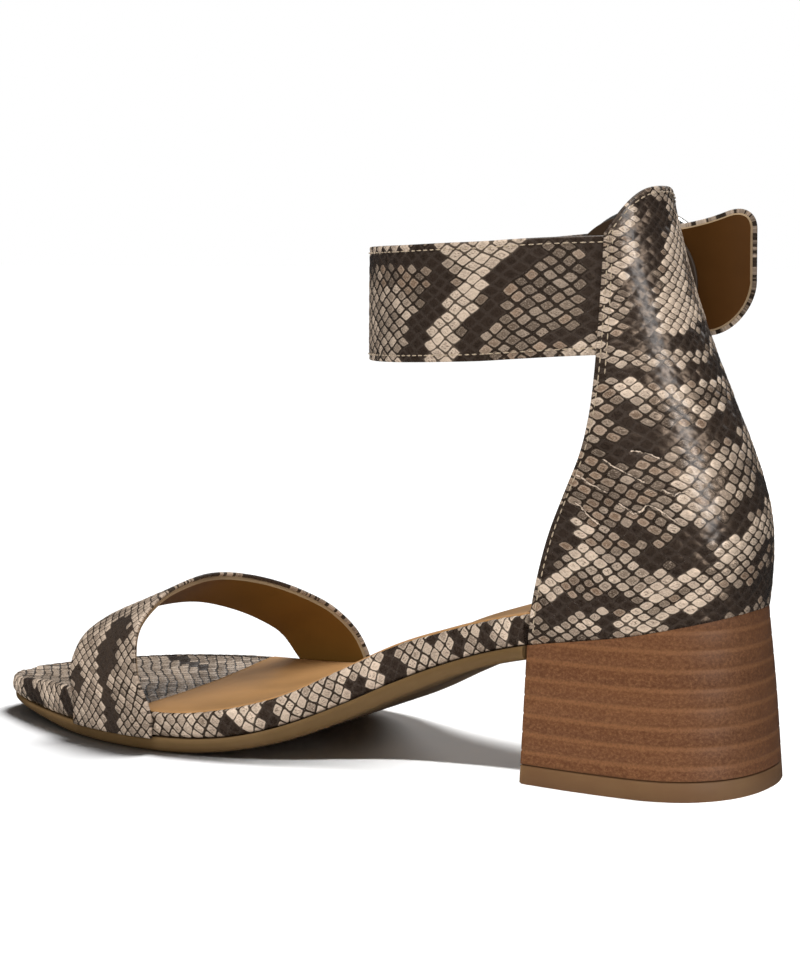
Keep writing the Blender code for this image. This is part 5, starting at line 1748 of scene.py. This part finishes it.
@dataclass
class RoundBuckle:
    """Ring, dropped bar and prong on the outer side, and the short strap that holds the bar."""

    strap: AnkleStrap
    place_x: float = 54.0
    ring_radius: float = 19.3
    ring_wire: float = 1.5
    ring_steps: int = 120
    ring_round: int = 18
    bar_wire: float = 1.1
    bar_reach: float = 14.2
    prong_wire: float = 1.0
    prong_overhang: float = 3.0
    fold_wall: float = 1.2
    slot_half: float = 1.4
    slot_rear: float = -3.2
    slot_front: float = 6.4
    fold_tall: float = 25.0
    guard_radius: float = 18.6
    guard_wall: float = 1.4
    guard_steps: int = 96
    wire_steps: int = 16
    bar_points: int = 60
    prong_points: int = 90
    fold_steps: int = 32
    tab_grid: tuple = (48, 41)
    # distance in from the guard's edge, share of its wall
    guard_rows: tuple = ((0.5, 0.0), (0.12, 0.12), (0.0, 0.35), (0.0, 0.65), (0.12, 0.88), (0.5, 1.0))
    # share of the way from the ring's level down to the bar's level, distance in from the ring
    bend_rows: tuple = ((0.0, 0.0), (0.33, 0.4), (0.72, 1.2), (0.96, 2.6))
    # forward of the bar, share of the way from the bar's level up to the rest on the ring
    rise_rows: tuple = ((2.2, 0.49), (4.6, 0.69), (8.5, 0.9), (13.5, 1.0), (19.3, 1.0))
    # x, y of the wall's middle, lean, z of the middle, width of the short strap
    tab_rows: tuple = (
        (34.6, -15.6, 5.4, 124.6, 29.0), (39.2, -18.4, 4.6, 124.9, 28.6), (44.0, -22.6, 2.8, 125.6, 27.4),
        (48.0, -26.4, 1.0, 126.2, 26.0), (51.3, -29.0, 0.0, 126.6, 25.0),
    )

    def __post_init__(self) -> None:
        """Find the strap's own directions at the buckle."""
        route = self.strap.path(84)
        outer = route[route[:, 1] < -20.0][::-1]
        self.middle, ahead = (
            np.array([np.interp(x, outer[:, 0], outer[:, axis]) for axis in (0, 1, 3)])
            for x in (self.place_x, self.place_x + 8.0)
        )
        self.forward = unit(ahead - self.middle)
        self.up = unit(np.array((0.0, 0.0, 1.0)) - self.forward[2] * self.forward)
        outward = np.cross(self.forward, -self.up)
        self.outward = outward if outward[1] < 0.0 else -outward
        self.drop = 0.5 * self.strap.wall + 2 * FIT_GAP + self.fold_wall + self.bar_wire
        self.lift = 0.5 * self.strap.wall + FIT_GAP + self.ring_wire

    def at(self, forward: float, outward: float, up: float) -> Array:
        """A point given from the strap's middle at the buckle."""
        return self.middle + forward * self.forward + outward * self.outward + up * self.up

    def wire(self, name: str, points: Array, radius: float, metal: Material) -> Thing:
        """A round wire with domed ends along a route.

        Args:
            name: The piece's name.
            points: The route.
            radius: Half its thickness.
            metal: Its material.

        Returns:
            The finished object.
        """
        along = unit(np.gradient(points, axis=0))
        side = unit(np.cross(along, self.up if abs(along[0] @ self.up) < 0.8 else self.forward))
        for step in range(1, len(side)):
            side[step] = unit(side[step - 1] - (side[step - 1] @ along[step]) * along[step])
        other = np.cross(along, side)
        turn = full_turn(self.wire_steps)[:, None]
        caps = np.radians((80.0, 55.0, 28.0))
        # number of the route's point, distance past it, radius
        stops = [(0, -radius * math.sin(angle), radius * math.cos(angle)) for angle in caps]
        stops += [(step, 0.0, radius) for step in range(len(points))]
        stops += [(-1, radius * math.sin(angle), radius * math.cos(angle)) for angle in caps[::-1]]
        rings = []
        for step, past, size in stops:
            circle = np.cos(turn) * side[step] + np.sin(turn) * other[step]
            rings.append(points[step] + along[step] * past + size * circle)
        return loft(name, rings, [metal], sharp=80.0)

    def build_frame(self, finish: PolishedMetal) -> Thing:
        """The ring with its dropped bar as one piece.

        Args:
            finish: The metal.

        Returns:
            The finished object.
        """
        metal = finish.material()
        turn, roll = full_turn(self.ring_steps)[:, None], full_turn(self.ring_round)
        radius = self.ring_radius + self.ring_wire * np.cos(roll)
        shape = self.ring_steps, self.ring_round
        height = np.broadcast_to(self.lift + self.ring_wire * np.sin(roll), shape)
        points = (
            self.middle
            + (radius * np.cos(turn))[..., None] * self.forward
            + (radius * np.sin(turn))[..., None] * self.up
            + height[..., None] * self.outward
        )
        index = np.arange(height.size).reshape(shape)
        ahead, beside = np.roll(index, -1, axis=0), np.roll(index, -1, axis=1)
        faces = np.stack([index, ahead, np.roll(ahead, -1, axis=1), beside], -1).reshape(-1, 4)
        ring = make_object("buckle_ring", points.reshape(-1, 3), faces.tolist(), [metal], sharp=80.0)
        turn_outward(ring.data)
        fall = self.lift + self.drop
        half = [(self.lift - fall * down, self.ring_radius - inside) for down, inside in self.bend_rows]
        half.append((-self.drop, self.bar_reach))
        route = [self.at(0.0, out, rise) for out, rise in half]
        route += [self.at(0.0, out, -rise) for out, rise in reversed(half)]
        bar = self.wire("buckle_bar", curve_through(route, self.bar_points), self.bar_wire, metal)
        cut_or_join(ring, bar, "UNION")
        return ring

    def build_prong(self, finish: PolishedMetal) -> Thing:
        """The prong, wrapped round the bar and resting on the ring.

        Args:
            finish: The metal.

        Returns:
            The finished object.
        """
        wrap = self.bar_wire + FIT_GAP + self.prong_wire
        rest = self.lift + self.ring_wire + FIT_GAP + self.prong_wire
        turns = np.radians(np.linspace(-50.0, -250.0, 9))
        route = [(wrap * math.cos(a), -self.drop + wrap * math.sin(a)) for a in turns]
        route += [(go, (rest + self.drop) * up - self.drop) for go, up in self.rise_rows]
        route.append((self.ring_radius + self.prong_overhang, rest))
        points = curve_through([self.at(go, out, 0.0) for go, out in route], self.prong_points)
        return self.wire("buckle_tongue", points, self.prong_wire, finish.material())

    def box(self, low: tuple, high: tuple) -> Thing:
        """A cutting box given by two corners in the buckle's own directions.

        Args:
            low: Least forward, outward and up.
            high: Greatest of the same.

        Returns:
            The box.
        """
        rings = []
        for go in (low[0], high[0]):
            corners = [(low[1], low[2]), (high[1], low[2]), (high[1], high[2]), (low[1], high[2])]
            rings.append([self.at(go, out, rise) for out, rise in corners])
        return loft("cutting_box", rings)

    def cut_slot(self, band: Thing) -> None:
        """Cut the prong's slot through the ankle strap."""
        reach, half = 2.0 * self.strap.wall, self.slot_half
        slot = self.box((self.slot_rear, -reach, -half), (self.slot_front, reach, half))
        cut_or_join(band, slot, "DIFFERENCE")

    def build_guard(self, leather: SmoothLeather) -> Thing:
        """The round leather guard behind the ring, on the inner side of the bar.

        Args:
            leather: The guard's finish.

        Returns:
            The finished object.
        """
        turn = full_turn(self.guard_steps)
        face = -self.drop - self.bar_wire - FIT_GAP - self.fold_wall - 0.1
        rings = []
        for inside, share in self.guard_rows:
            radius, out = self.guard_radius - inside, face - share * self.guard_wall
            rings.append([self.at(radius * math.cos(a), out, radius * math.sin(a)) for a in turn])
        return loft("buckle_guard", rings, [leather.material()], sharp=60.0)

    def build_tab(self, print_finish: SnakePrint, lining: SmoothLeather, edge: SmoothLeather) -> Thing:
        """The short strap from the quarter's outer edge to the bar, folded round the bar.

        Args:
            print_finish: The print outside.
            lining: The lining inside.
            edge: The cut edge.

        Returns:
            The finished object.
        """
        end = self.at(-0.5, -self.drop, 0.0)
        rows = np.r_[np.array(self.tab_rows), [(end[0], end[1], 0.0, end[2], self.fold_tall)]]
        columns, across = self.tab_grid
        points, flat = self.strap.band(curve_through(rows, columns), across)
        points = points - 0.5 * self.strap.wall * grid_normals(points)
        sheet = Panel("buckle_tab", points, flat + (TAB_MAP, 0.0), self.strap.wall)
        tab = sheet.dressed(print_finish, lining, edge)
        inside = tab.data.materials[Face.INNER.value]
        bore = self.bar_wire + FIT_GAP
        reach = bore + self.fold_wall
        turn = full_turn(self.fold_steps)
        for name, radius, tall, operation in (
            ("fold_eye", reach, self.fold_tall, "UNION"),
            ("fold_bore", bore, 2.0 * self.fold_tall, "DIFFERENCE"),
        ):
            rings = [
                [self.at(radius * math.cos(a), radius * math.sin(a) - self.drop, rise) for a in turn]
                for rise in (-0.5 * tall, 0.5 * tall)
            ]
            cut_or_join(tab, loft(name, rings, [inside]), operation)
        notch = self.box(
            (-bore - 2.0 * self.prong_wire - FIT_GAP, -self.drop - 2.0 * reach, -self.slot_half),
            (2.0 * reach, -self.drop + 2.0 * reach, self.slot_half),
        )
        cut_or_join(tab, notch, "DIFFERENCE")
        return tab


# Inputs of the stitches' node tree and the kinds of their sockets.
STITCH_INPUTS = (
    ("Line", "Geometry"), ("Pitch", "Float"), ("Length", "Float"), ("Thickness", "Float"),
    ("Seed", "Int"), ("Thread", "Material"),
)
# Nodes of the tree by name, their own properties and the values of their sockets.
STITCH_NODES = (
    ("given", "NodeGroupInput"), ("result", "NodeGroupOutput"), ("curve", "GeometryNodeMeshToCurve"),
    ("even", "GeometryNodeResampleCurve"), ("stitch", "GeometryNodeMeshUVSphere"),
    ("size", "ShaderNodeCombineXYZ"), ("shape", "GeometryNodeTransform"),
    ("tangent", "GeometryNodeInputTangent"), ("facing", "GeometryNodeInputNamedAttribute"),
    ("first", "FunctionNodeAlignRotationToVector"), ("second", "FunctionNodeAlignRotationToVector"),
    ("uneven", "FunctionNodeRandomValue"), ("place", "GeometryNodeInstanceOnPoints"),
    ("solid", "GeometryNodeRealizeInstances"), ("smooth", "GeometryNodeSetShadeSmooth"),
    ("dress", "GeometryNodeSetMaterial"),
)
STITCH_SETTINGS = (
    ("even", "mode", "LENGTH"), ("facing", "data_type", "FLOAT_VECTOR"), ("first", "axis", "X"),
    ("second", "axis", "Z"), ("second", "pivot_axis", "X"), ("uneven", "data_type", "FLOAT_VECTOR"),
)
STITCH_VALUES = (
    ("stitch", "Segments", 8), ("stitch", "Rings", 6), ("stitch", "Radius", 0.5),
    ("facing", "Name", "facing"),
)
# Links of the tree: a node and its output, a node and its input.
STITCH_LINKS = (
    ("given", "Line", "curve", "Mesh"), ("curve", "Curve", "even", "Curve"),
    ("given", "Pitch", "even", "Length"), ("given", "Length", "size", "X"),
    ("given", "Thickness", "size", "Y"), ("given", "Thickness", "size", "Z"),
    ("stitch", "Mesh", "shape", "Geometry"), ("size", "Vector", "shape", "Scale"),
    ("tangent", "Tangent", "first", "Vector"), ("first", "Rotation", "second", "Rotation"),
    ("facing", "Attribute", "second", "Vector"), ("even", "Curve", "place", "Points"),
    ("shape", "Geometry", "place", "Instance"), ("second", "Rotation", "place", "Rotation"),
    ("given", "Seed", "uneven", "Seed"), ("uneven", 0, "place", "Scale"),
    ("place", "Instances", "solid", "Geometry"), ("solid", "Geometry", "smooth", "Geometry"),
    ("smooth", "Geometry", "dress", "Geometry"), ("given", "Thread", "dress", "Material"),
    ("dress", "Geometry", "result", "Stitches"),
)


@dataclass
class Stitcher:
    """Sews rows of stitches with one node tree."""

    length: float = 1.6
    pitch: float = 2.15
    thick: float = 0.36
    seed: int = 7
    # least and greatest share of a stitch's length, width and height
    uneven: tuple = ((0.86, 0.9, 0.9), (1.1, 1.1, 1.1))

    def tree(self) -> bpy.types.NodeTree:
        """The node tree: resample the line, lay a stitch at each point, realise, set the thread."""
        tree = bpy.data.node_groups.new("stitch_row", "GeometryNodeTree")
        for name, kind in STITCH_INPUTS:
            tree.interface.new_socket(name, in_out="INPUT", socket_type="NodeSocket" + kind)
        tree.interface.new_socket("Stitches", in_out="OUTPUT", socket_type="NodeSocketGeometry")
        nodes = {name: tree.nodes.new(kind) for name, kind in STITCH_NODES}
        for name, key, value in STITCH_SETTINGS:
            setattr(nodes[name], key, value)
        spread = [("uneven", *bound) for bound in enumerate(self.uneven)]
        for name, key, value in (*STITCH_VALUES, *spread):
            nodes[name].inputs[key].default_value = value
        for source, output, target, socket in STITCH_LINKS:
            tree.links.new(nodes[source].outputs[output], nodes[target].inputs[socket])
        return tree

    def sew(self, name: str, rows: Sequence[tuple], thread: Thread) -> Thing:
        """Make one piece of all the given rows.

        Args:
            name: The piece's name.
            rows: Points and normals of each line to sew.
            thread: The thread's finish.

        Returns:
            The piece, a plain mesh.
        """
        points = np.concatenate([line for line, _ in rows])
        facing = np.concatenate([normals for _, normals in rows])
        edges, first = [], 0
        for line, _ in rows:
            edges += [(first + step, first + step + 1) for step in range(len(line) - 1)]
            first += len(line)
        mesh = bpy.data.meshes.new(name)
        mesh.from_pydata(to_part(points).tolist(), edges, [])
        layer = mesh.attributes.new("facing", "FLOAT_VECTOR", "POINT")
        layer.data.foreach_set("vector", facing.astype(np.float32).ravel())
        thing = add_object(name, mesh)
        tree = self.tree()
        step = thing.modifiers.new("stitches", "NODES")
        step.node_group = tree
        values = {"Pitch": self.pitch * MM, "Length": self.length * MM, "Thickness": self.thick * MM}
        values.update({"Seed": self.seed, "Thread": thread.material()})
        for item in tree.interface.items_tree:
            if item.in_out == "INPUT" and item.name in values:
                step[item.identifier] = values[item.name]
        bake(thing)
        return thing


def line_on(panel: Panel, rows: Array, columns: Array, lift: float = 0.16) -> tuple:
    """A stitch line at fractional grid places of a panel: its points, just off the leather, and normals.

    Args:
        panel: The sheet.
        rows: Grid rows, in fractions.
        columns: Grid columns, in fractions.
        lift: Distance off the leather.

    Returns:
        The line's points and their normals.
    """
    r = np.clip(rows.astype(int), 0, panel.outer.shape[0] - 2)
    c = np.clip(columns.astype(int), 0, panel.outer.shape[1] - 2)
    dr, dc = (rows - r)[:, None], (columns - c)[:, None]
    found = []
    for grid in (panel.outer, panel.normals(panel.outer)):
        low = grid[r, c] * (1.0 - dc) + grid[r, c + 1] * dc
        high = grid[r + 1, c] * (1.0 - dc) + grid[r + 1, c + 1] * dc
        found.append(low * (1.0 - dr) + high * dr)
    normals = unit(found[1])
    return found[0] + normals * lift, normals


class Lit(Enum):
    """What a light reaches."""

    SANDAL = "not_on_floor"
    FLOOR = "only_floor"


@dataclass
class Studio:
    """Pale floor, soft light and the camera at the photograph's angle."""

    camera_place: tuple = (-234.467, 576.729, 142.193)
    azimuth: float = 0.5368753
    pitch: float = 0.1066924
    roll: float = -0.0057254
    focal_pixels: float = 2499.97
    frame_height: float = 978.0
    sensor: float = 36.0
    ambient: float = 0.05
    floor_size: float = 6.0
    target: tuple = (0.08, 0.0, 0.06)
    # name, place and size in metres, watts, what it reaches, whether it lights that, whether it shines on it
    boxes: tuple = (
        ("strip_box", (-1.04, 0.28, 0.50), (0.28, 0.80), 18.0, Lit.SANDAL, False, True),
        ("side_box", (1.2, 0.7, 0.6), (0.7, 0.8), 1.5, Lit.SANDAL, True, False),
        ("front_box", (-0.4, 1.6, 0.45), (1.2, 0.7), 17.0, Lit.SANDAL, True, False),
        ("back_box", (0.3, -1.3, 0.8), (1.4, 0.7), 4.0, Lit.SANDAL, True, True),
        ("under_box", (0.0, -0.9, 0.38), (0.3, 0.3), 4.3, Lit.FLOOR, True, False),
    )
    # name, turn and spread in radians, strength, what it reaches
    sheets: tuple = (
        ("overhead_sheet", (-0.15, -0.05, 0.0), 0.9, 3.4, Lit.SANDAL),
        ("floor_sheet", (0.46, -0.12, 0.0), 0.45, 3.9, Lit.FLOOR),
    )
    # narrow spot on the floor before the waist
    spot_place: tuple = (0.028, 0.325, 0.746)
    spot_target: tuple = (0.028, 0.035, 0.0)
    spot_power: float = 34.0
    spot_cone: float = 0.175
    spot_blend: float = 0.4
    spot_radius: float = 0.04

    def build_camera(self) -> None:
        """The camera, looking at the sandal's inner side from behind."""
        camera = bpy.data.cameras.new("photo_camera")
        camera.sensor_width = self.sensor
        camera.lens = self.sensor * self.focal_pixels / self.frame_height
        camera.clip_start = 0.01
        thing = add_object("photo_camera", camera)
        forward = Vector((
            math.sin(self.azimuth) * math.cos(self.pitch),
            -math.cos(self.azimuth) * math.cos(self.pitch),
            -math.sin(self.pitch),
        ))
        right = forward.cross(Vector((0.0, 0.0, 1.0))).normalized()
        up = right.cross(forward)
        turn = Matrix((right, up, -forward)).transposed().to_4x4()
        place = Matrix.Translation(Vector(to_part(np.array(self.camera_place))))
        thing.matrix_world = place @ turn @ Matrix.Rotation(self.roll, 4, "Z")
        bpy.context.scene.camera = thing

    def build_floor(self) -> Thing:
        """A wide pale floor under the sole."""
        size = self.floor_size
        mesh = bpy.data.meshes.new("studio_floor")
        corners = [(-size, -size, 0.0), (size, -size, 0.0), (size, size, 0.0), (-size, size, 0.0)]
        mesh.from_pydata(corners, [], [(0, 1, 2, 3)])
        mesh.materials.append(FloorPaint("floor_paint").material())
        floor = add_object("studio_floor", mesh)
        floor.visible_glossy = False
        return floor

    def group(self, name: str, things: Sequence[Thing], state: str) -> bpy.types.Collection:
        """A collection that a light lights or takes shadows from (INCLUDE), or leaves out (EXCLUDE).

        Args:
            name: Its name.
            things: What it holds.
            state: INCLUDE or EXCLUDE.

        Returns:
            The collection.
        """
        group = bpy.data.collections.new(name)
        for thing in things:
            group.objects.link(thing)
        for link in group.collection_objects:
            link.light_linking.link_state = state
        return group

    def lamp(self, name: str, kind: str, power: float, receivers: bpy.types.Collection) -> Thing:
        """A light that reaches one group.

        Args:
            name: Its name.
            kind: Its type.
            power: Watts, or a sun's strength.
            receivers: What it reaches.

        Returns:
            The light.
        """
        light = bpy.data.lights.new(name, kind)
        light.energy = power
        thing = add_object(name, light)
        thing.light_linking.receiver_collection = receivers
        return thing

    def aim(self, thing: Thing, place: tuple, target: tuple) -> None:
        """Put a light at a place and turn it to a target."""
        thing.location = place
        thing.rotation_euler = (Vector(target) - Vector(place)).to_track_quat("-Z", "Y").to_euler()

    def build_light(self, floor: Thing, low_pieces: Sequence[Thing]) -> None:
        """Soft boxes and a wide overhead sheet for the sandal, and a sheet, a box and a spot for the floor.

        Args:
            floor: The floor, which has its own light.
            low_pieces: The pieces near the floor, whose shadow it shows.
        """
        reached = {
            Lit.SANDAL: self.group(Lit.SANDAL.value, [floor], "EXCLUDE"),
            Lit.FLOOR: self.group(Lit.FLOOR.value, [floor], "INCLUDE"),
        }
        low = self.group("low_pieces", low_pieces, "INCLUDE")
        for name, place, size, power, lit, spreads, shines in self.boxes:
            thing = self.lamp(name, "AREA", power, reached[lit])
            thing.data.shape = "RECTANGLE"
            thing.data.size, thing.data.size_y = size
            self.aim(thing, place, self.target)
            thing.visible_diffuse, thing.visible_glossy = spreads, shines
        for name, turn, spread, power, lit in self.sheets:
            thing = self.lamp(name, "SUN", power, reached[lit])
            thing.data.angle, thing.rotation_euler = spread, turn
            if lit is Lit.FLOOR:
                thing.light_linking.blocker_collection = low
        spot = self.lamp("waist_spot", "SPOT", self.spot_power, reached[Lit.FLOOR])
        self.aim(spot, self.spot_place, self.spot_target)
        spot.data.spot_size, spot.data.spot_blend = self.spot_cone, self.spot_blend
        spot.data.shadow_soft_size = self.spot_radius
        spot.light_linking.blocker_collection = low

    def build_surround(self) -> None:
        """An even surround, white where the camera sees it and dim as a light."""
        scene = bpy.context.scene
        scene.world = bpy.data.worlds.new("studio_surround")
        scene.world.use_nodes = True
        nodes, links = scene.world.node_tree.nodes, scene.world.node_tree.links
        dim, white = nodes["Background"], nodes.new("ShaderNodeBackground")
        for node, strength in ((dim, self.ambient), (white, 1.0)):
            node.inputs["Color"].default_value = (1.0, 1.0, 1.0, 1.0)
            node.inputs["Strength"].default_value = strength
        seen = nodes.new("ShaderNodeLightPath").outputs["Is Camera Ray"]
        either = nodes.new("ShaderNodeMixShader")
        for socket, source in zip(either.inputs, (seen, dim.outputs[0], white.outputs[0])):
            links.new(source, socket)
        links.new(either.outputs[0], nodes["World Output"].inputs["Surface"])
        scene.view_settings.view_transform = "Standard"
        scene.view_settings.look = "None"

    def build(self, low_pieces: Sequence[Thing]) -> None:
        """Floor, light, surround and camera."""
        self.build_light(self.build_floor(), low_pieces)
        self.build_surround()
        self.build_camera()


def main() -> None:
    """Build the sandal's pieces in order and dress them."""
    logging.basicConfig(level=logging.INFO, format="%(name)s: %(message)s")
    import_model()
    # painted shade: this lining is coloured much darker than the tan leather, for the shade inside the upper
    # and on the strap's tail
    lining = SmoothLeather("lining_leather_painted_shade", (0.070, 0.026, 0.004))
    edge = SmoothLeather("cut_edge", (0.30, 0.21, 0.12), 0.55)
    shape = SoleShape()
    sole_rubber = SoleRubber("outsole_rubber", (0.105, 0.061, 0.0235))
    outsole = settle(Outsole(shape).build(sole_rubber), "outsole_rubber", "outsole")
    footbed = Footbed(shape, SnakePrint("footbed_print", RIM_CHART, 3.5, 4.3, slant=0.3))
    wrap = settle(footbed.build_wrap(), "printed_leather", "midsole")
    sock_leather = SmoothLeather("sock_leather", (0.41, 0.222, 0.09), 0.45)
    settle(footbed.build_sock(sock_leather), "tan_leather", "insole")
    heel = BlockHeel(shape)
    stack = StackedLeather("heel_stack", heel.first_line, heel.layer)
    settle(heel.build_block(stack), "stacked_heel", "heel")
    lift_rubber = SoleRubber("lift_rubber", (0.111, 0.0535, 0.0238), 0.6)
    settle(heel.build_lift(lift_rubber), "lift_rubber", "heel_top_lift")
    quarter_print = SnakePrint(
        "quarter_print", QUARTER_CHART + mirrored(QUARTER_CHART, -7.0, 3.0), 4.4, 3.5, crowd=3.5, fine=0.32,
        wrinkles=QUARTER_WRINKLES, corner_power=4.5, groove=(0.07, 0.02), pillow=0.0003, lean=0.0009,
    )
    quarter = Quarter(shape, quarter_print)
    settle(quarter.build(lining, edge), "printed_leather", "quarter_and_ankle_strap")
    strap_print = SnakePrint("strap_print", STRAP_CHART, groove=(0.085, 0.035), cream=(0.51, 0.403, 0.31))
    strap = AnkleStrap(strap_print)
    band = strap.build(lining, edge)
    buckle = RoundBuckle(strap)
    buckle.cut_slot(band)
    settle(band, "printed_leather")
    settle(buckle.build_tab(SnakePrint("tab_print", TAB_CHART), lining, edge), "printed_leather")
    # painted shade: the guard, tan leather, is coloured near black for the shade behind the ring
    guard_leather_painted_shade = SmoothLeather("guard_leather_painted_shade", (0.035, 0.021, 0.012), 0.45)
    settle(buckle.build_guard(guard_leather_painted_shade), "tan_leather")
    settle(buckle.build_frame(PolishedMetal("ring_metal")), "buckle_metal", "buckle_frame")
    settle(buckle.build_prong(PolishedMetal("tongue_metal")), "buckle_metal", "buckle_prong")
    vamp_print = SnakePrint(
        "vamp_print", VAMP_CHART, 3.2, 3.4, wander=0.4, cream=(0.47, 0.37, 0.285), dark=(0.044, 0.031, 0.0230)
    )
    # painted shade: the toe strap's lining is darkened for the shade under the strap
    vamp_lining_painted_shade = SmoothLeather("vamp_lining_painted_shade", (0.15, 0.070, 0.014))
    vamp = settle(VampStrap(shape, vamp_print).build(vamp_lining_painted_shade, edge), "printed_leather", "vamp_strap")
    needle = Stitcher()
    settle(needle.sew("strap_stitches", strap.stitch_lines(), Thread("strap_thread")), "tan_leather")
    settle(needle.sew("quarter_stitches", quarter.stitch_lines(), Thread("quarter_thread")), "tan_leather")
    Studio().build([outsole, wrap, vamp])


if __name__ == "__main__":
    main()
